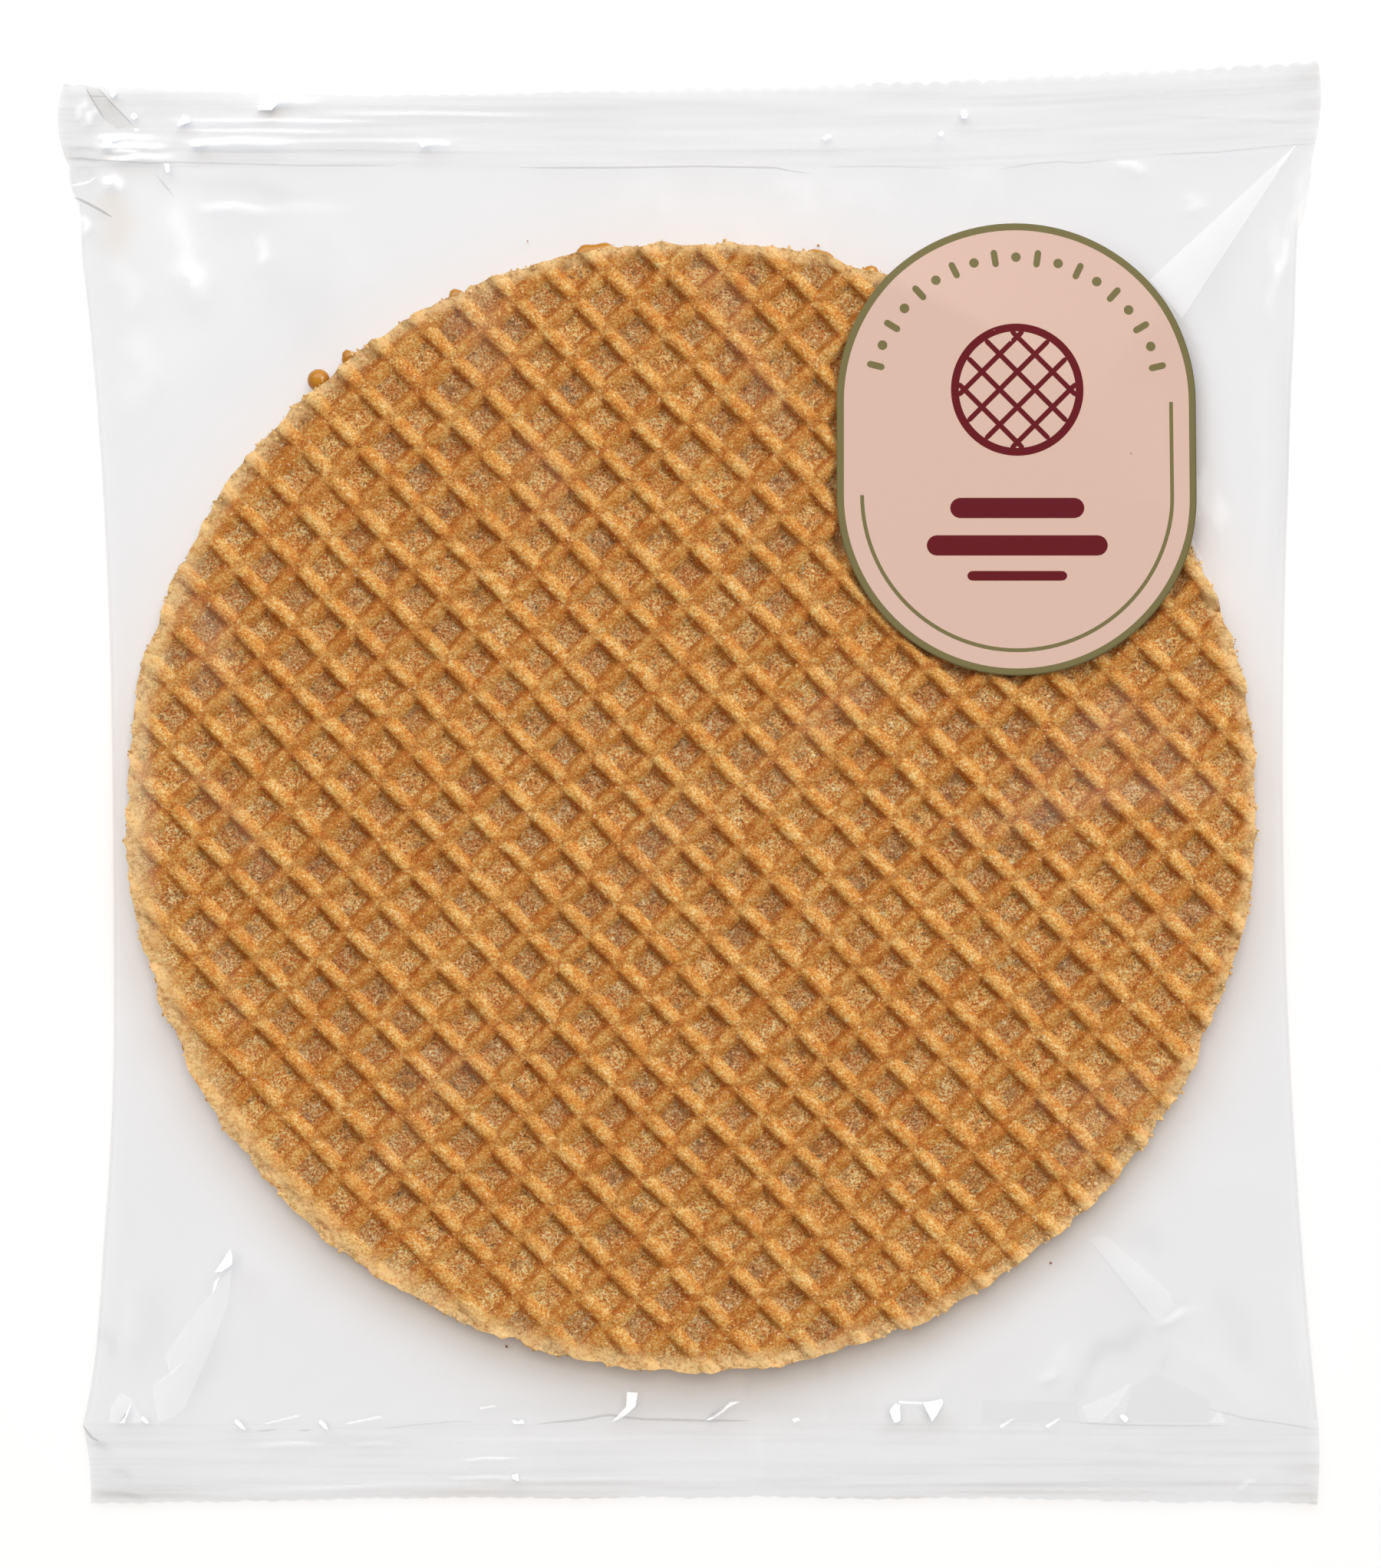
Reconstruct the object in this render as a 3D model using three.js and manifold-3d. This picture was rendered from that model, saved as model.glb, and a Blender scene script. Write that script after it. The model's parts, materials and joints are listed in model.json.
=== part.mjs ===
// A large round stroopwafel in its clear flow wrap, lying flat, with a capsule-shaped
// sticker on the film. Millimetres, +Z up. The origin is at the middle of the pack's
// footprint, on the surface that it lies on. +X runs across the pack, and +Y along it,
// from the lower end seal to the upper one.
//
// The sealed bag is one closed solid: the film with the waffle that it is drawn tight
// over. Its top is flat over the waffle, where the square pits of the baking iron show,
// and slopes like a tent to the waisted side folds and to the two crimped end seals.

import * as THREE from "three";
import { mergeVertices } from "three/addons/utils/BufferGeometryUtils.js";
import Module from "manifold-3d";

const wasm = await Module();
wasm.setup();

// The waffle: two thin wafers with syrup between them
const wafer = {
  centre: new THREE.Vector2(0.1, -2.9),
  radius: 72.5,
  top: 6.2, // the film on the crests of the ridges
};

// The iron's pits: truncated pyramids on a nearly square lattice, turned by 45 degrees
const pits = {
  pitch: [5.51, 5.45],
  turn: [43.8, 133.9], // each row's direction, in degrees from +X
  start: [0.39, 0.6], // the middle of one pit, in pitches from the origin
  crest: 0.9, // flat left between two pits
  floor: 2.2,
  depth: 1.15,
  cutAbove: 0.2, // how far the cutting shape stands above the crests
  rimWall: 0.5, // left standing between a pit and the cut edge of the waffle
  leastShown: 1.6, // a pit whose middle is nearer the rim than this is not pressed
};

// The side folds are narrowest at a waist and widen towards both ends
const leftSide = { waistX: -74.5, waistY: -31, upperX: -80.1, upperPower: 3, lowerX: -78.4, lowerPower: 1.8 };
const rightSide = { waistX: 76.6, waistY: 4, upperX: 80.6, upperPower: 3, lowerX: 81.2, lowerPower: 2 };

// The end seals: x is given where the seal starts, half way out and at the cut edge
const upperEnd = { startY: 79.7, leftX: [-80.1, -81.6, -80.9], rightX: [80.6, 81.6, 81.3] };
const lowerEnd = { startY: -82.7, leftX: [-78.4, -77.6, -77.5], rightX: [81.2, 81.4, 81.2] };
const upperSealLift = { fromX: 20, rise: 2.3 }; // the upper seal climbs towards its right end
const upperCut = { lowX: -45, lowY: 88.9, leftRise: 1.5, rightRise: 4.35, rightPower: 1.9 };
const lowerCut = { middleY: -92.3, bow: 0.95 };
const seal = {
  thickness: 0.6,
  overlap: 0.8, // how far the seal's solid reaches into the pouch
  toothPitch: 2.7,
  toothDepth: 0.5,
  droop: 0.1, // fall per millimetre outwards
  ribs: 3,
  ribHalfWidth: 0.55,
  ribHalfHeight: 0.52,
  ribInset: 1.5,
};

// Heights of the film between the waffle and the folds
const fold = { height: 2.4, thickness: 0.7 };
const tentPower = 1.8;
const spanSteps = 18; // points round the pouch between two of its corners
const topLevels = [1, 0.7, 0.45, 0.2, 0];

// The sticker: two half rounds and a short straight stretch
const label = {
  centre: new THREE.Vector2(42, 43.1),
  radius: 23.15,
  straight: 12.1,
  thickness: 0.4,
  gap: 0.4, // above the film
  arcSteps: 18,
  levels: [0.15, 0.3, 0.45, 0.6, 0.75, 0.88, 1],
};

// Seen through the clear film, the bag has the colour of the baked waffle
const waffleInFilm = new THREE.MeshStandardMaterial({ color: 0xc08a4c, roughness: 0.45, metalness: 0 });
const printedPaper = new THREE.MeshStandardMaterial({ color: 0xe2c1b2, roughness: 0.6, metalness: 0 });

const simplifyWithin = 0.001;
const halvings = 30;
const mix = THREE.MathUtils.lerp;
const radians = THREE.MathUtils.degToRad;

// ---- Joining and cutting

function toSolid(geometry) {
  const bare = geometry.clone();
  bare.deleteAttribute("normal");
  bare.deleteAttribute("uv");
  const merged = mergeVertices(bare, 1e-5);
  return new wasm.Manifold(new wasm.Mesh({
    numProp: 3,
    vertProperties: new Float32Array(merged.getAttribute("position").array),
    triVerts: new Uint32Array(merged.index.array),
  }));
}

// Drops the points that a cut leaves in the middle of a straight edge
function tidied(solid) {
  return solid.asOriginal().simplify(simplifyWithin);
}

function toGeometry(solid) {
  const { vertProperties, triVerts } = solid.getMesh();
  const geometry = new THREE.BufferGeometry();
  geometry.setAttribute("position", new THREE.BufferAttribute(vertProperties, 3));
  geometry.setIndex(new THREE.BufferAttribute(triVerts, 1));
  geometry.computeVertexNormals();
  return geometry;
}

// A closed skin over a stack of rings, all with the same number of points and running
// anticlockwise about the way from the first end point to the last one.
function skinRings(firstPoint, rings, lastPoint) {
  const count = rings[0].length;
  const points = [firstPoint, ...rings.flat(), lastPoint];
  const last = points.length - 1;
  const at = (ring, k) => 1 + ring * count + (k % count);
  const faces = [];
  for (let k = 0; k < count; k += 1) {
    faces.push(0, at(0, k + 1), at(0, k));
    for (let ring = 1; ring < rings.length; ring += 1) {
      faces.push(at(ring - 1, k), at(ring - 1, k + 1), at(ring, k + 1));
      faces.push(at(ring - 1, k), at(ring, k + 1), at(ring, k));
    }
    faces.push(at(rings.length - 1, k), at(rings.length - 1, k + 1), last);
  }
  const geometry = new THREE.BufferGeometry().setFromPoints(points);
  geometry.setIndex(faces);
  return geometry;
}

// ---- Outline of the pouch, seen from above

function sideX(side, y) {
  if (y > side.waistY) {
    const t = (y - side.waistY) / (upperEnd.startY - side.waistY);
    return mix(side.waistX, side.upperX, t ** side.upperPower);
  }
  const t = (side.waistY - y) / (side.waistY - lowerEnd.startY);
  return mix(side.waistX, side.lowerX, t ** side.lowerPower);
}

function upperSealY(x) {
  const t = (x - upperSealLift.fromX) / (upperEnd.rightX[0] - upperSealLift.fromX);
  return upperEnd.startY + upperSealLift.rise * Math.max(0, t) ** 2;
}

function lowerSealY() {
  return lowerEnd.startY;
}

function upperCutY(x) {
  if (x < upperCut.lowX) {
    const t = (x - upperCut.lowX) / (upperEnd.leftX[2] - upperCut.lowX);
    return upperCut.lowY + upperCut.leftRise * t ** 2;
  }
  const t = (x - upperCut.lowX) / (upperEnd.rightX[2] - upperCut.lowX);
  return upperCut.lowY + upperCut.rightRise * t ** upperCut.rightPower;
}

function lowerCutY(x) {
  return lowerCut.middleY - lowerCut.bow * (x / lowerEnd.rightX[2]) ** 2;
}

function insidePouch(x, y) {
  const betweenSeals = y > lowerSealY() && y < upperSealY(x);
  return betweenSeals && x > sideX(leftSide, y) && x < sideX(rightSide, y);
}

// How far the pouch reaches from the waffle's middle in a direction, by halving
function reach(angle) {
  let near = wafer.radius;
  let far = 2 * wafer.radius;
  for (let step = 0; step < halvings; step += 1) {
    const middle = (near + far) / 2;
    const x = wafer.centre.x + middle * Math.cos(angle);
    const y = wafer.centre.y + middle * Math.sin(angle);
    if (insidePouch(x, y)) {
      near = middle;
    } else {
      far = middle;
    }
  }
  return near;
}

// ---- The film between the waffle and the folds

// 0 at the rim of the waffle or inside it, and 1 at the fold
function outwards(x, y) {
  const dx = x - wafer.centre.x;
  const dy = y - wafer.centre.y;
  const distance = Math.hypot(dx, dy);
  if (distance <= wafer.radius) {
    return 0;
  }
  return (distance - wafer.radius) / (reach(Math.atan2(dy, dx)) - wafer.radius);
}

function filmTop(x, y) {
  const foldTop = fold.height + fold.thickness / 2;
  return foldTop + (wafer.top - foldTop) * (1 - Math.min(1, outwards(x, y))) ** tentPower;
}

function pouch() {
  const corners = [
    [lowerEnd.rightX[0], lowerEnd.startY],
    [upperEnd.rightX[0], upperSealY(upperEnd.rightX[0])],
    [upperEnd.leftX[0], upperEnd.startY],
    [lowerEnd.leftX[0], lowerEnd.startY],
  ].map(([x, y]) => Math.atan2(y - wafer.centre.y, x - wafer.centre.x));
  const angles = [];
  corners.forEach((from, index) => {
    const next = corners[(index + 1) % corners.length];
    const to = next > from ? next : next + 2 * Math.PI;
    for (let step = 0; step < spanSteps; step += 1) {
      angles.push(mix(from, to, step / spanSteps));
    }
  });
  const ring = (level, height) => angles.map((angle) => {
    const distance = mix(wafer.radius, reach(angle), level);
    const x = wafer.centre.x + distance * Math.cos(angle);
    const y = wafer.centre.y + distance * Math.sin(angle);
    return new THREE.Vector3(x, y, height(level));
  });
  const foldTop = fold.height + fold.thickness / 2;
  const under = (level) => (fold.height - fold.thickness / 2) * level;
  const over = (level) => foldTop + (wafer.top - foldTop) * (1 - level) ** tentPower;
  const rings = [ring(0, under), ring(1, under), ...topLevels.map((level) => ring(level, over))];
  const bottomMiddle = new THREE.Vector3(wafer.centre.x, wafer.centre.y, 0);
  const topMiddle = new THREE.Vector3(wafer.centre.x, wafer.centre.y, wafer.top);
  return toSolid(skinRings(bottomMiddle, rings, topMiddle));
}

// ---- The waffle's pits

const [rowA, rowB] = pits.turn.map((turn) => {
  const angle = radians(turn);
  return new THREE.Vector2(Math.cos(angle), Math.sin(angle));
});

// One pit: a square funnel from just above the crests down to its flat floor
function pit(middle) {
  const loop = (grow, z) => [[-1, -1], [1, -1], [1, 1], [-1, 1]].map(([a, b]) => {
    const halfA = mix(pits.floor, pits.pitch[0] - pits.crest, grow) / 2;
    const halfB = mix(pits.floor, pits.pitch[1] - pits.crest, grow) / 2;
    const corner = middle.clone().addScaledVector(rowA, a * halfA).addScaledVector(rowB, b * halfB);
    return new THREE.Vector3(corner.x, corner.y, z);
  });
  const lowest = loop(0, wafer.top - pits.depth);
  const highest = loop(1 + pits.cutAbove / pits.depth, wafer.top + pits.cutAbove);
  const faces = [0, 2, 1, 0, 3, 2, 4, 5, 6, 4, 6, 7];
  for (let k = 0; k < 4; k += 1) {
    const next = (k + 1) % 4;
    faces.push(k, next, next + 4, k, next + 4, k + 4);
  }
  return { points: [...lowest, ...highest], faces };
}

function allPits() {
  const reachCells = Math.ceil(wafer.radius / Math.min(...pits.pitch)) + 1;
  const points = [];
  const faces = [];
  for (let i = -reachCells; i <= reachCells; i += 1) {
    for (let j = -reachCells; j <= reachCells; j += 1) {
      const middle = new THREE.Vector2()
        .addScaledVector(rowA, (i + pits.start[0]) * pits.pitch[0])
        .addScaledVector(rowB, (j + pits.start[1]) * pits.pitch[1]);
      if (middle.distanceTo(wafer.centre) < wafer.radius - pits.leastShown) {
        const one = pit(middle);
        faces.push(...one.faces.map((corner) => corner + points.length));
        points.push(...one.points);
      }
    }
  }
  const geometry = new THREE.BufferGeometry().setFromPoints(points);
  geometry.setIndex(faces);
  return toSolid(geometry);
}

// The cutter's circle, a little inside the waffle's rim, that the pits stop at
function pitLimit() {
  const radius = wafer.radius - pits.rimWall;
  const profile = [[0, 0], [radius, 0], [radius, 2 * wafer.top], [0, 2 * wafer.top]];
  const disc = new THREE.LatheGeometry(profile.map(([r, y]) => new THREE.Vector2(r, y)), 4 * spanSteps);
  disc.rotateX(Math.PI / 2);
  disc.translate(wafer.centre.x, wafer.centre.y, 0);
  return toSolid(disc);
}

// ---- The end seals

function sealHeight(end, y) {
  return fold.height - seal.droop * Math.max(0, Math.abs(y) - Math.abs(end.startY));
}

// A flat plate with a saw-cut outer edge, which hangs down a little outwards
function sealPlate(end, startY, cutY) {
  const way = Math.sign(end.startY);
  const shape = new THREE.Shape();
  const innerSteps = 10;
  for (let step = 0; step <= innerSteps; step += 1) {
    const x = mix(end.leftX[0] + seal.overlap, end.rightX[0] - seal.overlap, step / innerSteps);
    const y = startY(x) - way * seal.overlap;
    if (step === 0) {
      shape.moveTo(x, y);
    } else {
      shape.lineTo(x, y);
    }
  }
  const halfWay = (x) => (startY(x) + cutY(x)) / 2;
  shape.lineTo(end.rightX[0], startY(end.rightX[0]));
  shape.lineTo(end.rightX[1], halfWay(end.rightX[1]));
  const width = end.rightX[2] - end.leftX[2];
  const halfTeeth = 2 * Math.round(width / seal.toothPitch);
  for (let step = 0; step <= halfTeeth; step += 1) {
    const x = mix(end.rightX[2], end.leftX[2], step / halfTeeth);
    const tooth = step % 2 === 0 ? 0.5 : -0.5;
    shape.lineTo(x, cutY(x) + way * tooth * seal.toothDepth);
  }
  shape.lineTo(end.leftX[1], halfWay(end.leftX[1]));
  shape.lineTo(end.leftX[0], startY(end.leftX[0]));
  const plate = new THREE.ExtrudeGeometry(shape, { depth: seal.thickness, bevelEnabled: false });
  const position = plate.getAttribute("position");
  for (let k = 0; k < position.count; k += 1) {
    const drop = sealHeight(end, position.getY(k)) - seal.thickness / 2;
    position.setZ(k, position.getZ(k) + drop);
  }
  return toSolid(plate);
}

// A crimp rib: a flat diamond section carried along the seal, standing out of both faces
function sealRib(end, startY, cutY, share) {
  const section = [[0, -1], [1, 0], [0, 1], [-1, 0]];
  const steps = 6;
  const leftX = Math.max(...end.leftX) + seal.ribInset;
  const rightX = Math.min(...end.rightX) - seal.ribInset;
  const centreAt = (x) => {
    const y = mix(startY(x), cutY(x), share);
    return new THREE.Vector3(x, y, sealHeight(end, y));
  };
  const rings = [];
  for (let step = 0; step <= steps; step += 1) {
    const centre = centreAt(mix(leftX, rightX, step / steps));
    rings.push(section.map(([across, up]) => new THREE.Vector3(
      centre.x,
      centre.y + across * seal.ribHalfWidth,
      centre.z + up * seal.ribHalfHeight,
    )));
  }
  return toSolid(skinRings(centreAt(leftX - seal.ribHalfWidth), rings, centreAt(rightX + seal.ribHalfWidth)));
}

function sealSolid(end, startY, cutY) {
  let solid = sealPlate(end, startY, cutY);
  for (let rib = 1; rib <= seal.ribs; rib += 1) {
    solid = tidied(solid.add(sealRib(end, startY, cutY, rib / (seal.ribs + 1))));
  }
  return solid;
}

function bagGeometry() {
  const pressed = tidied(pouch().subtract(allPits().intersect(pitLimit())));
  const sealed = pressed
    .add(sealSolid(upperEnd, upperSealY, upperCutY))
    .add(sealSolid(lowerEnd, lowerSealY, lowerCutY));
  return toGeometry(tidied(sealed));
}

// ---- The sticker, bent with the film from the waffle down towards the corner

function labelGeometry() {
  const outline = [];
  [1, -1].forEach((half) => {
    for (let step = 0; step <= label.arcSteps; step += 1) {
      const angle = Math.PI * (step / label.arcSteps + (half > 0 ? 0 : 1));
      const y = label.radius * Math.sin(angle) + (half * label.straight) / 2;
      outline.push([label.radius * Math.cos(angle), y]);
    }
  });
  const at = (share, lift) => outline.map(([dx, dy]) => {
    const x = label.centre.x + share * dx;
    const y = label.centre.y + share * dy;
    return new THREE.Vector3(x, y, filmTop(x, y) + lift);
  });
  const under = label.gap;
  const over = label.gap + label.thickness;
  const rings = [
    ...label.levels.map((share) => at(share, under)),
    ...label.levels.toReversed().map((share) => at(share, over)),
  ];
  const { x, y } = label.centre;
  const middle = (lift) => new THREE.Vector3(x, y, filmTop(x, y) + lift);
  return toGeometry(toSolid(skinRings(middle(under), rings, middle(over))));
}

const bag = new THREE.Mesh(bagGeometry(), waffleInFilm);
bag.name = "bag";

const sticker = new THREE.Mesh(labelGeometry(), printedPaper);
sticker.name = "label";

const pack = new THREE.Group();
pack.add(bag, sticker);

export default pack;
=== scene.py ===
import json
import math

import bpy
import numpy as np
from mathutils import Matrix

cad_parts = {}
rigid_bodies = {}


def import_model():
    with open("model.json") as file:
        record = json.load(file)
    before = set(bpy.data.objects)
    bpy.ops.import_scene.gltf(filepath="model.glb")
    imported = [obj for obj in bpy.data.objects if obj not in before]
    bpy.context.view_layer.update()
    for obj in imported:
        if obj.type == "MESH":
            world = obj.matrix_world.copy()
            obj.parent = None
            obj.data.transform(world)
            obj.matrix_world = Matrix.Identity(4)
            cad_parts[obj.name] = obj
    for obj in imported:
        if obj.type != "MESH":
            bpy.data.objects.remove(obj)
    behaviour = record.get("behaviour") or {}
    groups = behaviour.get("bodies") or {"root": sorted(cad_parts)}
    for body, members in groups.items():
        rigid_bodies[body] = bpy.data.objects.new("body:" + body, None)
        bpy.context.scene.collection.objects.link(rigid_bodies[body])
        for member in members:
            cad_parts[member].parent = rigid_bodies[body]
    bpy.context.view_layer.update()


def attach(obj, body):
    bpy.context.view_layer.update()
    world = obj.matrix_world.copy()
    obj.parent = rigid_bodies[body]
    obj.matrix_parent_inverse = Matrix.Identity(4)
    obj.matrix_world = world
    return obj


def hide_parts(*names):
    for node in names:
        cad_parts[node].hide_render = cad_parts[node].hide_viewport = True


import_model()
mm = 0.001  # shapes below are worked out in millimetres

# ---------- small helpers


def linearColour(hexCode, alpha=1.0):
    # sRGB hex to linear red, green, blue
    parts = [int(hexCode[k:k + 2], 16) / 255 for k in (1, 3, 5)]
    curve = [c / 12.92 if c <= 0.04045 else ((c + 0.055) / 1.055) ** 2.4 for c in parts]
    return (*curve, alpha)


def smoothStep(low, high, x):
    # 0 below low, 1 above high, and 3t^2 - 2t^3 between them
    t = np.clip((x - low) / (high - low), 0, 1)
    return t * t * (3 - 2 * t)


def patchNoise(x, y, cell, seed):
    # random heights on a square lattice of this cell, blended smoothly, from -1 to 1
    table = np.random.default_rng(seed).uniform(-1, 1, (256, 256))
    u, v = np.asarray(x) / cell, np.asarray(y) / cell
    i, j = np.floor(u).astype(int), np.floor(v).astype(int)
    s, t = u - i, v - j
    s, t = s * s * (3 - 2 * s), t * t * (3 - 2 * t)
    low = table[i % 256, j % 256] * (1 - s) + table[(i + 1) % 256, j % 256] * s
    high = table[i % 256, (j + 1) % 256] * (1 - s) + table[(i + 1) % 256, (j + 1) % 256] * s
    return low * (1 - t) + high * t


def stacked(*grids):
    # one row for each point, one column for each grid or single value
    return np.column_stack([np.ravel(grid) for grid in np.broadcast_arrays(*grids)])


def gridFaces(rows, cols, closed=False):
    # quads of a grid of points stored row by row; closed joins the last column to the first
    k = np.arange(cols if closed else cols - 1)
    r = np.arange(rows - 1)[:, None]
    near, far = r * cols + k, r * cols + (k + 1) % cols
    return np.stack([near, far, far + cols, near + cols], -1).reshape(-1, 4)


def fanFaces(middle, loop):
    # triangles from one middle point to a closed loop of points
    return np.stack([np.full(len(loop), middle), loop, np.roll(loop, -1)], -1)


def plateFaces(rows, cols, turned=False):
    # a closed plate: a grid's points, the same again below them, and a rim between the two
    count = rows * cols
    k = np.arange(count).reshape(rows, cols)
    loop = np.concatenate([k[0, :-1], k[:-1, -1], k[-1, :0:-1], k[:0:-1, 0]])
    follow = np.roll(loop, -1)
    top = gridFaces(rows, cols)
    groups = (top, top[:, ::-1] + count, np.column_stack([loop, loop + count, follow + count, follow]))
    return [group[:, ::-1] if turned else group for group in groups]


def gathered(bodies):
    # several closed bodies as one mesh: points, groups of faces and, where given, tones
    first, groups = 0, []
    for points, faces, *_ in bodies:
        groups += [first + group for group in faces]
        first += len(points)
    columns = list(zip(*bodies))
    return np.vstack(columns[0]), groups, *[np.vstack(tones) for tones in columns[2:]]


def ringBody(rings, low, high):
    # points and faces of a closed body: rings from the lowest up, and a middle point at each end
    n, count = len(rings[0]), len(rings) * len(rings[0])
    loop = np.arange(n)
    ends = [fanFaces(count, loop[::-1]), fanFaces(count + 1, count - n + loop)]
    return np.vstack([*rings, [low], [high]]), [gridFaces(len(rings), n, closed=True), *ends]


def makePiece(name, points, faces, materials, tones=None, faceMaterial=None, creased=0):
    mesh = bpy.data.meshes.new(name)
    polygons = [face for group in faces for face in np.asarray(group).tolist()]
    mesh.from_pydata((np.asarray(points) * mm).tolist(), [], polygons)
    for material in materials:
        mesh.materials.append(material)
    if faceMaterial is not None:
        mesh.polygons.foreach_set("material_index", np.asarray(faceMaterial, dtype=np.int32))
    mesh.polygons.foreach_set("use_smooth", np.ones(len(mesh.polygons), dtype=bool))
    if tones is not None:
        layer = mesh.color_attributes.new("tones", "FLOAT_COLOR", "POINT")
        # a fourth tone that isn't given is 0.5
        tones = np.column_stack([tones, np.full((len(points), 4 - tones.shape[1]), 0.5)])
        layer.data.foreach_set("color", tones.ravel())
    mesh.validate()
    mesh.update()
    if creased:
        mesh.set_sharp_from_angle(angle=math.radians(creased))
    piece = bpy.data.objects.new(name, mesh)
    bpy.context.scene.collection.objects.link(piece)
    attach(piece, "root")
    return piece


def setInputs(tree, node, **values):
    # inputs set or linked: a socket's name has _ for a space, and i6 is the input of number 6
    for key, value in values.items():
        numbered = key[0] == "i" and key[1:].isdigit()
        socket = node.inputs[int(key[1:]) if numbered else key.replace("_", " ")]
        if isinstance(value, bpy.types.NodeSocket):
            tree.links.new(value, socket)
        else:
            socket.default_value = linearColour(value) if isinstance(value, str) else value


def addNode(tree, kind, settings=None, **values):
    # a new node with its settings and inputs
    node = tree.nodes.new(kind)
    for key, value in (settings or {}).items():
        setattr(node, key, value)
    setInputs(tree, node, **values)
    return node


def mixColours(tree, share, one, other, kind="MIX"):
    # each colour is a socket, a linear colour or an sRGB hex code
    settings = {"data_type": "RGBA", "blend_type": kind}
    return addNode(tree, "ShaderNodeMix", settings, i0=share, i6=one, i7=other).outputs[2]


def newMaterial(name, **values):
    # a material whose Principled shader has these inputs
    material = bpy.data.materials.new(name)
    material.use_nodes = True
    tree = material.node_tree
    shader = next(n for n in tree.nodes if n.type == "BSDF_PRINCIPLED")
    setInputs(tree, shader, **values)
    return material, tree, shader


# ---------- camera, floor and light

studio = {
    "frameHeight": 202.0,   # what the picture's height takes in at the pack
    "lens": 100.0,
    "sensor": 36.0,
    "aim": (0.1, 0.0),
    "floorColour": "#F4F4F4", "floorHalf": 4000, "floorZ": -0.05,
    "worldStrength": 0.25,
    "mirrored": 0.1,        # the brightness that gloss sees instead of it
    "softboxAway": 2.4,
}
softboxes = {
    # compass angle from +X, height angle, width and height, power, colour and what it lights
    "key": (27, 45, (1.3, 1.1), 40.0, "#FFFFFF", "food"),
    "top": (97, 46, (3.2, 1.4), 40.0, "#FFFFFF", "food"),
    "glint": (27, 45, (0.5, 0.4), 5.0, "#FFFFFF", "film"),
    "fill": (225, 38, (2.4, 1.6), 12.5, "#FFFFFF", "food"),
    "haze": (97, 46, (3.2, 1.4), 150.0, "#FFFFFF", "film"),
    "sheen": (97, 46, (3.2, 1.4), 60.0, "#FFFFFF", "pleats"),
    # a warm high lamp and a cool low one, white together, so that the waffle's shadow is warm
    "floorHigh": (90, 80, (1.3, 1.1), 32.0, "#FFF0DF", "floor"),
    "floorLow": (97, 50, (3.2, 1.4), 50.0, "#E6F2FF", "floor"),
}


def makeCamera():
    data = bpy.data.cameras.new("camera")
    data.lens, data.sensor_width = studio["lens"], studio["sensor"]
    away = studio["frameHeight"] * studio["lens"] / studio["sensor"]
    camera = bpy.data.objects.new("camera", data)
    camera.location = (studio["aim"][0] * mm, studio["aim"][1] * mm, (away + 4) * mm)
    bpy.context.scene.collection.objects.link(camera)
    bpy.context.scene.camera = camera


def makeFloor():
    # matt white paper, just under the pack
    material, tree, shader = newMaterial("matt white paper", Base_Color=studio["floorColour"], Roughness=0.9,
                                         Specular_IOR_Level=0.1)
    half, z = studio["floorHalf"], studio["floorZ"]
    corners = np.array([(-half, -half, z), (half, -half, z), (half, half, z), (-half, half, z)])
    mesh = bpy.data.meshes.new("floor")
    mesh.from_pydata((corners * mm).tolist(), [], [(0, 1, 2, 3)])
    mesh.materials.append(material)
    floor = bpy.data.objects.new("floor", mesh)
    bpy.context.scene.collection.objects.link(floor)


def makeSoftbox(name):
    # a soft square lamp, aimed at the middle of the pack
    azimuth, elevation, size, power, colour = softboxes[name][:5]
    data = bpy.data.lights.new(name + "Softbox", "AREA")
    data.shape, data.size, data.size_y = "RECTANGLE", *size
    data.energy = power
    data.color = linearColour(colour)[:3]
    lamp = bpy.data.objects.new(name + "Softbox", data)
    a, e, away = math.radians(azimuth), math.radians(elevation), studio["softboxAway"]
    lamp.location = (away * math.cos(e) * math.cos(a), away * math.cos(e) * math.sin(a), away * math.sin(e))
    lamp.rotation_euler = (math.pi / 2 - e, 0, a + math.pi / 2)
    lamp.visible_glossy = name not in ("fill", "haze")  # these two would show as blurs in the film
    bpy.context.scene.collection.objects.link(lamp)
    return lamp


def makeWorld():
    world = bpy.data.worlds.new("studio")
    world.use_nodes = True
    tree = world.node_tree
    glossy = addNode(tree, "ShaderNodeLightPath").outputs["Is Glossy Ray"]
    strength = addNode(tree, "ShaderNodeMix", {"data_type": "FLOAT"}, i0=glossy, i2=studio["worldStrength"],
                       i3=studio["mirrored"])
    setInputs(tree, tree.nodes["Background"], Color="#FFFFFF", Strength=strength.outputs[0])
    bpy.context.scene.world = world


# a ray can cross more than eight faces of film where the pleats lie
bpy.context.scene.cycles.transparent_max_bounces = 32
makeCamera()
makeFloor()
makeWorld()
lamps = {name: makeSoftbox(name) for name in softboxes}
bpy.context.scene.view_settings.view_transform = "Standard"
print("studio: camera, floor and softboxes")

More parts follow.
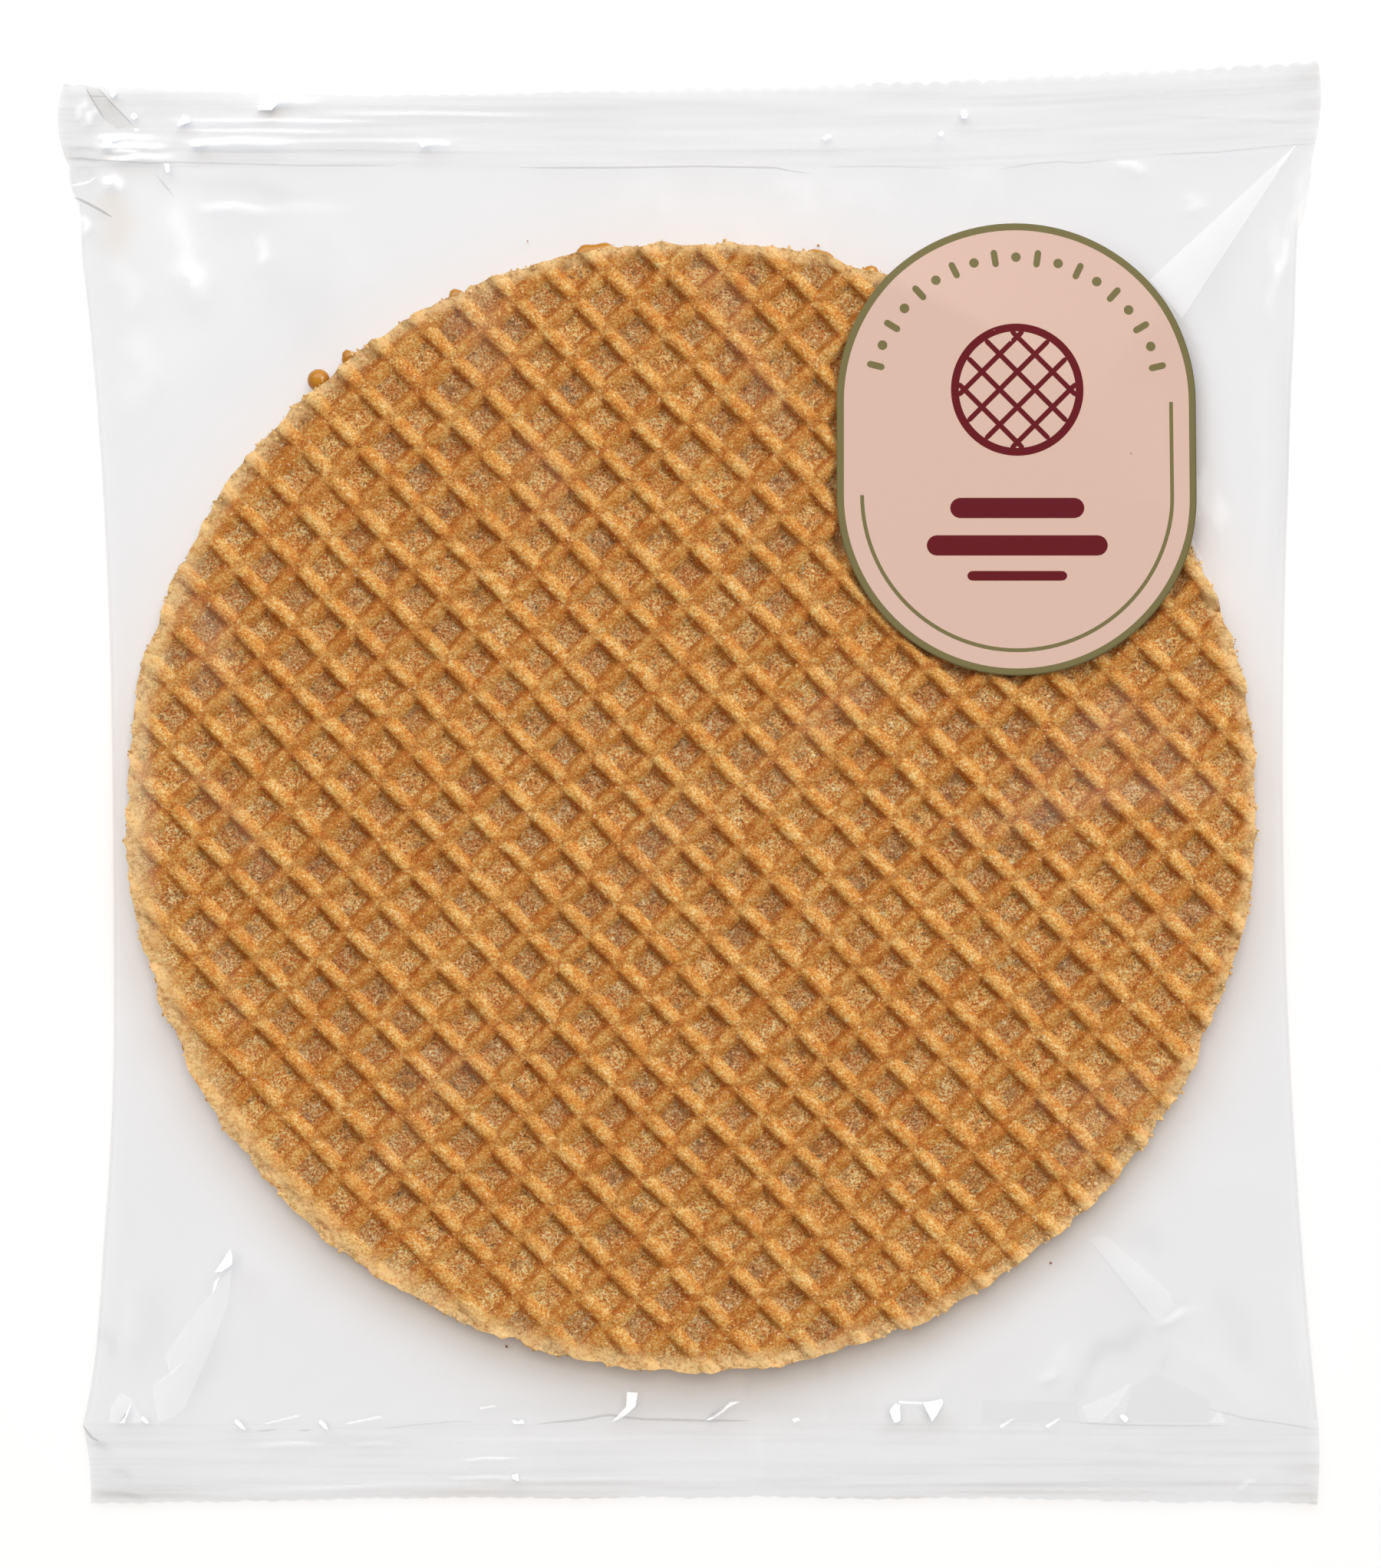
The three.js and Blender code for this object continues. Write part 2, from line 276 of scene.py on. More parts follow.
# ---------- the pouch's outline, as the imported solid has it

waffle = {
    "centre": (0.1, -2.9),
    "radius": 72.5,
    "pitch": (5.51, 5.45),
    "turn": (43.8, 133.9),
    "start": (0.39, 0.60),
}
pouch = {
    "filmTop": 6.2,
    "foldHeight": 2.4,
    "tentPower": 1.8,
    "upperSealY": 79.7, "sealLiftFrom": 20.0, "sealLift": 2.3,
    "lowerSealY": -82.7,
    # each side's waist and its widening to the two seals; kinks are y and how far it strays there
    "left": {
        "waistX": -74.5, "waistY": -31.0, "upperX": -80.1, "upperPower": 3.0, "lowerX": -78.4, "lowerPower": 1.8,
        "kinks": ((-82.7, 0), (-79, 0.35), (-73, 0.5), (-60, 0.1), (68, 0), (73.5, 0.45), (75, 0.65),
                  (76.6, -0.1), (77.6, -0.35), (79.7, 0)),
    },
    "right": {
        "waistX": 76.6, "waistY": 4.0, "upperX": 80.6, "upperPower": 3.0, "lowerX": 81.2, "lowerPower": 2.0,
        "kinks": ((4, 0), (38, 0.4), (58, 0.1), (70.5, -0.75), (71.8, -0.85), (73.5, -0.25), (75.5, 0), (79.7, 0)),
    },
    "droop": 0.1,           # how far a seal falls for each millimetre from its line
}
sticker = {
    "centre": (42.0, 43.1),
    "radius": 23.15,
    "straight": 12.1,
    "above": 0.2,
    "thickness": 0.15, "ink": 0.06,
    "border": 0.92,
    "keyInset": (3.0, 3.5),
    "keyTopY": 37.7,        # the key line's two legs end here
    "steps": 60,            # points on each half round
    "motifY": 50.6, "motifRing": (7.5, 8.5),
    "bars": ((35.4, 8.6, 1.3), (30.6, 11.6, 1.3), (26.7, 6.4, 0.62)),   # y, half length, half width
    "arcRadius": 18.7, "dots": ((1.15, 0.42), (0.62, 0.62)),    # a dash and a dot by turns
    "pink": "#CFB0A1", "olive": "#746C48", "burgundy": "#621E23",
}


def sideX(side, y):
    # the waist, plus the end's widening times (distance from the waist / its length) to a power
    up = np.clip((y - side["waistY"]) / (pouch["upperSealY"] - side["waistY"]), 0, 1.2)
    down = np.clip((side["waistY"] - y) / (side["waistY"] - pouch["lowerSealY"]), 0, 1.2)
    widenUp = (side["upperX"] - side["waistX"]) * up ** side["upperPower"]
    widenDown = (side["lowerX"] - side["waistX"]) * down ** side["lowerPower"]
    kinks = np.interp(y, *zip(*side["kinks"]), left=0, right=0)
    return side["waistX"] + widenUp + widenDown + kinks


def upperSealY(x):
    t = (x - pouch["sealLiftFrom"]) / (pouch["right"]["upperX"] - pouch["sealLiftFrom"])
    return pouch["upperSealY"] + pouch["sealLift"] * np.maximum(0, t) ** 2


def polarFromWaffle(x, y):
    dx, dy = x - waffle["centre"][0], y - waffle["centre"][1]
    return np.hypot(dx, dy), np.arctan2(dy, dx)


def aroundWaffle(r, angle):
    return waffle["centre"][0] + r * np.cos(angle), waffle["centre"][1] + r * np.sin(angle)


def pouchReach(angle):
    # how far the pouch reaches from the waffle's middle in each direction, by halving
    near = np.full(angle.shape, waffle["radius"])
    far = near * 2
    for step in range(26):
        middle = (near + far) / 2
        x, y = aroundWaffle(middle, angle)
        inside = (y > pouch["lowerSealY"]) & (y < upperSealY(x))
        inside &= (x > sideX(pouch["left"], y)) & (x < sideX(pouch["right"], y))
        near, far = np.where(inside, middle, near), np.where(inside, far, middle)
    return near


def outwards(x, y):
    # 0 over the waffle, and 1 at the folds and seals
    distance, angle = polarFromWaffle(x, y)
    past = np.maximum(0, distance - waffle["radius"])
    return np.clip(past / np.maximum(0.5, pouchReach(angle) - waffle["radius"]), 0, 1)


# ---------- the baked wafer halves

wafer = {
    # grid lines in one pitch of the iron, from a pit's middle at 0: closest at the pit's edge
    "samples": (-0.43, -0.36, -0.31, -0.26, -0.18, -0.06, 0.06, 0.18, 0.26, 0.31, 0.36, 0.43),
    "underSamples": (-0.43, -0.31, -0.24, -0.08, 0.08, 0.24, 0.31, 0.43),
    "longBar": 1.3,        # half width of the unbroken bars, from crest to floor
    "shortBar": 1.38,      # half width of the bars between them
    "roundness": 1.8,       # 1 gives bars like roofs, more gives rounder ones
    "shortHeight": 0.95,    # their height, as a share of the long bars'
    "saddle": 0.14,         # how far the long bars dip at a crossing
    "notch": 0.05,          # how deep each short bar dips where it meets a long one
    "barWander": (0.07, 0.1),   # how much the long and the short bars vary in width
    "aside": 0.1, "uneven": 0.055,  # how far a stretch between two crossings sits aside and up
    "crossing": 0.75,       # half width of a crossing, along a long bar
    "depth": 1.22,
    "depthSpread": 0.12, "toneSpread": 0.25,    # from pit to pit
    "top": 6.03,
    "upperBottom": 3.75,
    "lowerTop": 2.4,
    "bottom": 0.12,
    "lowerInset": 1.0,      # the lower half is cut this much smaller
    "wobble": 0.16,         # how far the bars stray sideways
    # the iron pressed less deep over this rim: the least and the added share, most towards
    # this direction, where the edge is whole
    "rimPress": (13, 0.1, 0.62, 225),
    # the pale rim: its width, what is added to it towards this direction
    "paleRim": (1.7, 2.2, 208),
    "chip": (0.45, 0.34, 0.34),  # rough cut edge: long, middling and short waves
    "wallRings": 5,
}


def cutRadius(angle, seed):
    # the cutter's circle, broken up by three sizes of crumb
    arc = angle * waffle["radius"]
    long, middling, short = wafer["chip"]
    rough = long * patchNoise(arc, 0 * arc, 14, seed) * 0.8
    rough += middling * patchNoise(arc, 0 * arc + 9, 3.1, seed + 1)
    rough += short * patchNoise(arc, 0 * arc + 5, 1.1, seed + 2)
    return waffle["radius"] + rough


def latticePlace(x, y):
    # where a point lies in pitches along the iron's two directions, 0 in the middle of a pit
    places = []
    for turn, pitch, start in zip(np.radians(waffle["turn"]), waffle["pitch"], waffle["start"]):
        places.append((x * math.cos(turn) + y * math.sin(turn)) / pitch - start)
    return places


def latticePoint(a, b):
    # the point at these places: where the lines across the iron's two directions meet
    (turnA, turnB), (startA, startB) = np.radians(waffle["turn"]), waffle["start"]
    alongA, alongB = (a + startA) * waffle["pitch"][0], (b + startB) * waffle["pitch"][1]
    spread = math.sin(turnB - turnA)
    x = (alongA * math.sin(turnB) - alongB * math.sin(turnA)) / spread
    y = (alongB * math.cos(turnA) - alongA * math.cos(turnB)) / spread
    return x, y


def pitRelief(a, b, seed):
    # 0 on a pit's floor and 1 on the long bars: each bar is an eased step across, and
    # the short ones dip where they meet the long ones; depth and tone differ from pit to pit
    rng = np.random.default_rng(seed)
    depths, tones, shifts, lifts = rng.normal(0, 1, (4, 64, 64)).clip(-1.8, 1.8)
    i, j = np.round(a).astype(int), np.round(b).astype(int)
    # each stretch of a long bar between two crossings sits a little aside and higher or lower
    line = np.floor(a).astype(int)
    aside = wafer["aside"] * shifts[line % 64, j % 64] * (1 - smoothStep(0.3, 0.5, np.abs(b - j)))
    fromLong = np.abs((0.5 - np.abs(a - i)) * waffle["pitch"][0] + aside * np.sign(a - i))
    fromShort = (0.5 - np.abs(b - j)) * waffle["pitch"][1]
    crossing = np.exp(-(fromShort / wafer["crossing"]) ** 2)
    longWander, shortWander = wafer["barWander"]
    longHalf = wafer["longBar"] * (1 + longWander * patchNoise(a, b, 1.1, seed + 1) - 0.08 * crossing)
    shortHalf = wafer["shortBar"] * (1 + shortWander * patchNoise(a, b, 0.9, seed + 2))
    longBar = 1 - np.clip((fromLong / longHalf - 0.1) / 0.9, 0, 1) ** wafer["roundness"]
    shortBar = 1 - np.clip((fromShort / shortHalf - 0.15) / 0.85, 0, 1) ** wafer["roundness"]
    uneven = wafer["uneven"] * lifts[line % 64, j % 64]
    longHeight = 1 + uneven * (1 - crossing) - wafer["saddle"] * crossing
    notch = 1 - wafer["notch"] * np.exp(-((fromLong - 1.0) / 0.32) ** 2)
    height = wafer["shortHeight"] * (1 + 0.06 * patchNoise(a, b, 1.9, seed + 3))
    relief = np.maximum(longBar * longHeight, shortBar * notch * height)
    depth = 1 + wafer["depthSpread"] * depths[i % 64, j % 64] * smoothStep(0, 0.8, 1 - relief)
    # painted shade, partly real browning: browner on each long bar's lower, shaded side,
    # on the short bars and at the crossings; and painted highlight: paler on the long bars' upper, lit side
    bars = (longBar, shortBar)
    slope, shortSlope = (smoothStep(0.02, 0.3, bar) * (1 - smoothStep(0.6, 0.97, bar)) for bar in bars)
    lower, shortLower = smoothStep(-0.03, 0.03, a - i), smoothStep(-0.03, 0.03, b - j)
    shadeAndBrowning = slope * lower * (1 - 0.95 * crossing) + 0.6 * crossing * longBar * (1 - lower)
    shadeAndBrowning = shadeAndBrowning + shortSlope * (1 - longBar) * (0.8 - 0.6 * shortLower) + 0.38 * smoothStep(0.55, 0.95, shortBar)
    shadeAndBrowning = shadeAndBrowning - (1 - lower) * smoothStep(0.12, 0.7, longBar) * (1 - crossing)
    tone = np.clip(0.5 + wafer["toneSpread"] * tones[i % 64, j % 64], 0, 1)
    return np.clip(relief, 0, 1.1), depth, tone, 0.5 + 0.5 * shadeAndBrowning


def facing(angle, direction):
    # 1 in this direction and 0 in the opposite one: the square of (1 + cosine) / 2
    return (0.5 + 0.5 * np.cos(angle - math.radians(direction))) ** 2


def makeWaferHalf(name, samples, crestZ, hiddenZ, seed, material, inset=0.0):
    # a grid along the iron's ridges, cut to the rough circle, over a crumbly cut edge
    up = 1 if crestZ > hiddenZ else -1
    radius = waffle["radius"] - inset
    reachCells = int(waffle["radius"] / min(waffle["pitch"])) + 2
    steps = (np.arange(-reachCells, reachCells + 1)[:, None] + np.array(samples)).ravel()
    count = len(steps)
    a, b = np.meshgrid(steps, steps, indexing="ij")
    x, y = latticePoint(a, b)
    distance, angle = polarFromWaffle(x, y)
    inside = distance < radius - 0.45
    steady = 1 - smoothStep(radius - 5, radius - 2, distance)
    x = x + wafer["wobble"] * steady * (patchNoise(x, y, 7, seed) + 0.5 * patchNoise(x, y, 3, seed + 9))
    y = y + wafer["wobble"] * steady * (patchNoise(x, y, 7, seed + 1) + 0.5 * patchNoise(x, y, 3, seed + 8))

    quads = gridFaces(count, count)[:, ::-1]
    quads = quads[inside.ravel()[quads].any(1)]
    used = np.unique(quads)
    place = np.full(count * count, -1)
    place[used] = np.arange(len(used))
    quads = place[quads]
    x, y, a, b = (grid.ravel()[used] for grid in (x, y, a, b))
    edge = ~inside.ravel()[used]
    distance, angle = polarFromWaffle(x, y)
    rim = cutRadius(angle, seed + 20) - inset
    x, y = np.where(edge, aroundWaffle(rim, angle), (x, y))
    a, b = np.where(edge, latticePlace(x, y), (a, b))
    distance, angle = polarFromWaffle(x, y)

    relief, depth, tone, shadeAndBrowning = pitRelief(a, b, seed + 40)
    crumb = np.random.default_rng(seed + 6).normal(0, 1, len(x)).clip(-2, 2)
    lumpy = patchNoise(x, y, 1.9, seed + 2)
    grain = (0.05 + 0.07 * (1 - relief)) * lumpy + 0.06 * patchNoise(x, y, 0.8, seed + 3)
    grain = grain + (0.03 + 0.02 * (1 - relief)) * crumb
    swell = 0.10 * patchNoise(x, y, 16, seed + 4) - 0.06
    wide, least, added, direction = wafer["rimPress"]
    towards = facing(angle, direction)
    shallow = 1 - smoothStep(radius - wide, radius - 1, distance) * (least + added * towards)
    atRim = smoothStep(radius - 0.9, radius + 0.3, distance) * (1 - 0.85 * towards)
    crumble = atRim * (0.1 + 0.3 * np.maximum(0, patchNoise(x, y, 1.3, seed + 5)))
    sink = wafer["depth"] * depth * shallow * (1 - relief) + crumble
    z = crestZ - up * sink + up * (grain + swell)

    loop = np.nonzero(edge)[0]
    loop = loop[np.argsort(angle[loop])]
    around = angle[loop]
    arc = around * waffle["radius"]
    rings, ringTones = [], []
    for k in range(1, wafer["wallRings"] + 1):
        share = k / wafer["wallRings"]
        rough = 0.28 * patchNoise(arc, 0 * arc + 3 * k, 0.9, seed + 6)
        rough = rough + 0.2 * patchNoise(arc, 0 * arc + k, 2.4, seed + 7)
        r = rim[loop] + 0.5 * rough * math.sin(math.pi * min(share, 0.9)) - 0.9 * share ** 0.7
        ringZ = z[loop] * (1 - share) + hiddenZ * share
        rings.append(stacked(*aroundWaffle(r, around), ringZ))
        ringTones.append(stacked(0.6, 0.5, tone[loop], shadeAndBrowning[loop]))
    points = np.vstack([stacked(x, y, z), *rings, [(*waffle["centre"], hiddenZ)]])
    wide, added, direction = wafer["paleRim"]
    frayed = distance + 0.35 * patchNoise(x, y, 1.5, seed + 12)
    paleness = smoothStep(radius - wide - added * facing(angle, direction), radius - 0.3, frayed)
    tones = np.vstack([stacked(relief, paleness, tone, shadeAndBrowning), *ringTones, [(0, 1, 0, 0.5)]])

    n, first = len(loop), len(x)
    follow = np.roll(np.arange(n), -1)
    collar = np.column_stack([loop, first + np.arange(n), first + follow, loop[follow]])
    wall = first + gridFaces(wafer["wallRings"], n, closed=True)[:, ::-1]
    cap = fanFaces(len(points) - 1, len(points) - 2 - np.arange(n))
    faces = [quads, collar, wall, cap]
    if up < 0:
        faces = [group[:, ::-1] for group in faces]
    piece = makePiece(name, points, faces, [material], tones=tones, creased=62)
    return piece


dough = {
    "ridge": ("#DCA04E", "#CD8D3E"), "floor": ("#CD9448", "#B68041"),   # each from one to the other
    # baked is painted shade on the bars' shaded sides, partly real browning; the colour after it is a painted
    # highlight on their lit sides
    "baked": "#AA6018", "paintedHighlight": "#E4AA5A", "torn": "#F3CC8E",
    "bruise": "#74502F", "pore": "#55300F", "fleck": "#F3D6A6",
    "mottleSize": 1.7, "grainSize": 0.3, "poreSize": 0.5, "fleckSize": 0.42,    # one wave each
    "grain": (-0.46, 0.42),     # the darkest and the lightest grain
    "powers": (0.6, 1.85, 3.9),     # darker grains are deeper in red, green and blue by these
}


def bakedWafer():
    # pressed sweet dough, baked on an iron: golden matt ridges of fine crumb, greyer grainy
    # floors where the syrup came through, and a pale torn edge
    material, tree, shader = newMaterial("baked wafer", Specular_IOR_Level=0.3)
    place = addNode(tree, "ShaderNodeTexCoord").outputs["Object"]
    tones = addNode(tree, "ShaderNodeAttribute", {"attribute_name": "tones"})
    split = addNode(tree, "ShaderNodeSeparateColor", Color=tones.outputs["Color"])
    relief, pale, cellTone = split.outputs

    def noise(size, detail=2.0, rough=0.6, at=(0, 0, 0)):
        # size is one wave in millimetres
        spot = addNode(tree, "ShaderNodeMapping", Vector=place, Location=at)
        return addNode(tree, "ShaderNodeTexNoise", Vector=spot.outputs[0], Scale=1 / (size * mm),
                       Detail=detail, Roughness=rough).outputs["Fac"]

    def ramp(value, low, high, start=0.0, end=1.0):
        return addNode(tree, "ShaderNodeMapRange", {"interpolation_type": "SMOOTHSTEP"}, Value=value,
                       From_Min=low, From_Max=high, To_Min=start, To_Max=end).outputs[0]

    def blend(share, one, other, kind="MIX"):
        return mixColours(tree, share, one, other, kind)

    def product(one, other, kind="MULTIPLY"):
        # one and the other multiplied, or joined by another operation
        return addNode(tree, "ShaderNodeMath", {"operation": kind}, i0=one, i1=other).outputs[0]

    ridge = blend(ramp(noise(5, 3), 0.35, 0.65), *dough["ridge"])
    floor = blend(ramp(cellTone, 0.2, 0.85), *dough["floor"])
    colour = blend(ramp(relief, 0.03, 0.3), floor, ridge)
    # painted shade on the bars' shaded sides, partly real browning, and painted highlight on their lit sides
    baked = tones.outputs["Alpha"]
    colour = blend(ramp(baked, 0.5, 1.0, 0.0, 0.85), colour, dough["baked"])
    colour = blend(ramp(baked, 0.5, 0.0, 0.0, 0.5), colour, dough["paintedHighlight"])
    mottle = ramp(noise(dough["mottleSize"], 3, 0.7), 0.3, 0.7, 0.82, 1.14)
    # coarser grain on the floors than on the bars
    rough = ramp(relief, 0.0, 0.5, 1.08, 0.68)
    grain = ramp(noise(dough["grainSize"], 3, 0.8), 0.34, 0.66, *dough["grain"])
    grain = product(product(grain, rough), 1.0, "ADD")
    # darker grains are deeper in colour and lighter ones paler
    change = product(mottle, grain)
    red, green, blue = (product(change, power, "POWER") for power in dough["powers"])
    shade = addNode(tree, "ShaderNodeCombineColor", Red=red, Green=green, Blue=blue)
    colour = blend(1.0, colour, shade.outputs[0], "MULTIPLY")
    bruise = product(ramp(noise(1.9, 3, at=(5, 5, 0)), 0.5, 0.72), ramp(relief, 0.0, 0.35, 1.0, 0.0))
    colour = blend(product(bruise, 0.6), colour, dough["bruise"])
    pores = ramp(noise(dough["poreSize"], 2, 0.6, at=(3, 1, 0)), 0.6, 0.67)
    pores = product(pores, ramp(relief, 0.0, 0.4, 1.0, 0.25))
    colour = blend(product(pores, 0.7), colour, dough["pore"])
    flecks = ramp(noise(dough["fleckSize"], 1, 0.5, at=(7, 4, 2)), 0.65, 0.74)
    colour = blend(product(flecks, 0.7), colour, dough["fleck"])
    torn = product(pale, ramp(noise(0.7, 2, 0.6, at=(1, 8, 0)), 0.3, 0.6, 0.3, 0.85))
    colour = blend(torn, colour, dough["torn"])
    height = product(noise(0.45, 3, 0.7), product(noise(1.3, 2, 0.6), 0.8), "ADD")
    bump = addNode(tree, "ShaderNodeBump", Height=height, Strength=0.9, Distance=0.3 * mm)
    setInputs(tree, shader, Base_Color=colour, Roughness=ramp(relief, 0.0, 0.6, 0.5, 0.7), Normal=bump.outputs[0])
    return material


waferMaterial = bakedWafer()
upper = makeWaferHalf("waferUpper", wafer["samples"], wafer["top"], wafer["upperBottom"], 11, waferMaterial)
lower = makeWaferHalf("waferLower", wafer["underSamples"], wafer["bottom"], wafer["lowerTop"], 53,
                      waferMaterial, wafer["lowerInset"])
print("wafer halves:", len(upper.data.polygons), len(lower.data.polygons), "faces")

# ---------- crumbs on the rim, on the grid and loose in the bag

crumbs = {
    "rim": 1000, "rimSize": (0.08, 0.3), "rimSpread": 0.55,
    "grid": 620, "gridSize": (0.09, 0.24), "onCrossings": 0.5,
    "loose": 6, "looseSize": (0.12, 0.3), "farthest": (46.8, -62.1, 0.2),   # its place and size
}


def lumpMesh(centres, sizes, rng):
    # one rough twenty-faced lump at each place, every corner pushed in or out a little
    golden = (1 + 5 ** 0.5) / 2
    corners = np.array([(-1, golden, 0), (1, golden, 0), (-1, -golden, 0), (1, -golden, 0),
                        (0, -1, golden), (0, 1, golden), (0, -1, -golden), (0, 1, -golden),
                        (golden, 0, -1), (golden, 0, 1), (-golden, 0, -1), (-golden, 0, 1)])
    corners /= np.linalg.norm(corners[0])
    sides = np.array([(0, 11, 5), (0, 5, 1), (0, 1, 7), (0, 7, 10), (0, 10, 11), (1, 5, 9), (5, 11, 4),
                      (11, 10, 2), (10, 7, 6), (7, 1, 8), (3, 9, 4), (3, 4, 2), (3, 2, 6), (3, 6, 8),
                      (3, 8, 9), (4, 9, 5), (2, 4, 11), (6, 2, 10), (8, 6, 7), (9, 8, 1)])
    n = len(centres)
    shape = corners[None] * rng.uniform(0.45, 1.25, (n, 12, 1)) * sizes[:, None, None]
    shape *= rng.uniform(0.6, 1.4, (n, 1, 3)) * (1, 1, 0.7)
    points = (shape + centres[:, None]).reshape(-1, 3)
    return points, (sides[None] + 12 * np.arange(n)[:, None, None]).reshape(-1, 3)


def makeCrumbs(material):
    # more of them at the rim, the outermost ones lower down its side; some on the grid; a few
    # on the lower film beside the waffle
    rng = np.random.default_rng(311)
    n = crumbs["rim"]
    angle = rng.uniform(-math.pi, math.pi, n)
    r = cutRadius(angle, 31) - np.abs(rng.normal(0, crumbs["rimSpread"], n)) + 0.2
    rimZ = wafer["top"] - 0.35 - 1.8 * rng.uniform(0, 1, n) ** 2 * (r > waffle["radius"] - 0.3)
    rim = stacked(*aroundWaffle(r, angle), rimZ)
    rimSizes = rng.uniform(*crumbs["rimSize"], n)

    m = crumbs["grid"]
    away, turn = waffle["radius"] * 0.985 * np.sqrt(rng.uniform(0, 1, m)), rng.uniform(-math.pi, math.pi, m)
    x, y = aroundWaffle(away, turn)
    a, b = latticePlace(x, y)
    # this share of them is moved to the nearest crossing of two bars
    moved = rng.uniform(0, 1, m) < crumbs["onCrossings"]
    a = np.where(moved, np.floor(a) + 0.5 + rng.normal(0, 0.07, m), a)
    b = np.where(moved, np.floor(b) + 0.5 + rng.normal(0, 0.07, m), b)
    x, y = latticePoint(a, b)
    relief, depth = pitRelief(a, b, 51)[:2]
    keep = polarFromWaffle(x, y)[0] < waffle["radius"] - 0.6
    gridZ = wafer["top"] - wafer["depth"] * depth * (1 - relief) + 0.02
    onGrid = stacked(x, y, gridZ)[keep]
    gridSizes = rng.uniform(*crumbs["gridSize"], m)[keep]

    centres, sizes = np.vstack([rim, onGrid]), np.concatenate([rimSizes, gridSizes])
    points, faces = lumpMesh(centres, sizes, rng)
    white = np.repeat(np.concatenate([rng.uniform(0.8, 1.2, n), rng.uniform(0.2, 0.9, len(onGrid))]), 12)
    tones = stacked(1, white, 0.4)
    piece = makePiece("crumbs", points, [faces], [material], tones=tones, creased=20)

    k = crumbs["loose"]
    turn = rng.uniform(-math.pi, math.pi, k)
    away = waffle["radius"] + 0.6 + rng.exponential(0.9, k)
    x, y = aroundWaffle(away, turn)
    sizes = rng.uniform(*crumbs["looseSize"], k)
    x[0], y[0], sizes[0] = crumbs["farthest"]
    z = pouch["foldHeight"] * outwards(x, y) ** 2.2 + 0.75 * sizes + 0.3
    points, faces = lumpMesh(stacked(x, y, z), sizes, rng)
    tones = stacked(0.25, np.repeat(rng.uniform(0, 0.5, k), 12), 0.6, 0.9)
    piece = makePiece("crumbsLoose", points, [faces], [material], tones=tones, creased=20)


makeCrumbs(waferMaterial)
print("crumbs")

# ---------- the syrup between them

syrup = {
    "low": 2.35, "high": 3.8,
    "inset": 0.9,           # how far the layer stays back from the cut edge
    "bulge": 1.2,
    "steps": 720,
    # beads pressed out at the rim: direction in degrees, how far out, half width in degrees
    "beads": [(99.8, 1.95, 2.3), (114.7, 1.75, 0.9), (127.3, 2.1, 0.9), (76.7, 2.5, 2.0), (71.3, 1.8, 1.0),
              (206, 0.9, 1.2), (251, 0.8, 0.8), (318, 0.9, 1.0), (352, 0.8, 0.7)],
    "drop": (131.1, 73.0, 1.45, 2.9),   # direction, distance from the middle, radius, height
    "dropFlatness": 0.85,
}


def setSyrup():
    # cooked sugar syrup, set soft: amber, smooth and glossy
    material, tree, shader = newMaterial("caramel syrup", Roughness=0.22, IOR=1.49)
    place = addNode(tree, "ShaderNodeTexCoord").outputs["Object"]
    cloud = addNode(tree, "ShaderNodeTexNoise", Vector=place, Scale=1 / (3 * mm), Detail=2.0)
    setInputs(tree, shader, Base_Color=mixColours(tree, cloud.outputs["Fac"], "#BC7A20", "#CA8A2E"))
    return material


def makeSyrup(material):
    # a disc whose side bulges like half an ellipse, further out at each bead
    angle = np.linspace(-math.pi, math.pi, syrup["steps"], endpoint=False)
    arc = angle * waffle["radius"]
    edge = waffle["radius"] - syrup["inset"]
    edge = edge + 0.35 * patchNoise(arc, 0 * arc, 6, 71) + 0.2 * patchNoise(arc, 0 * arc, 1.8, 72)
    for direction, out, half in syrup["beads"]:
        turn = np.degrees(np.angle(np.exp(1j * (angle - math.radians(direction)))))
        edge = edge + out * np.exp(-(turn / half) ** 4)
    low, high, bulge = syrup["low"], syrup["high"], syrup["bulge"]
    rings = []
    for lift in np.linspace(-math.pi / 2, math.pi / 2, 11):
        z = (low + high) / 2 + (high - low) / 2 * math.sin(lift)
        rings.append(stacked(*aroundWaffle(edge - bulge + bulge * math.cos(lift), angle), z))
    points, faces = ringBody(rings, (*waffle["centre"], low), (*waffle["centre"], high))
    piece = makePiece("syrupLayer", points, faces, [material])


def makeDrop(material):
    # the round drop that hangs from the rim: a sphere, a little flattened
    direction, away, radius, z = syrup["drop"]
    centre = (*aroundWaffle(away, math.radians(direction)), z)
    high = syrup["dropFlatness"] * radius
    around = np.linspace(0, 2 * math.pi, 48, endpoint=False)
    rings = []
    for lift in np.linspace(-math.pi / 2, math.pi / 2, 25)[1:-1]:
        r = radius * math.cos(lift)
        rings.append(stacked(r * np.cos(around), r * np.sin(around), high * math.sin(lift)))
    points, faces = ringBody(rings, (0, 0, -high), (0, 0, high))
    piece = makePiece("syrupDrop", points + centre, faces, [material])


syrupMaterial = setSyrup()
makeSyrup(syrupMaterial)
makeDrop(syrupMaterial)
print("syrup layer and drop")

# ---------- the film

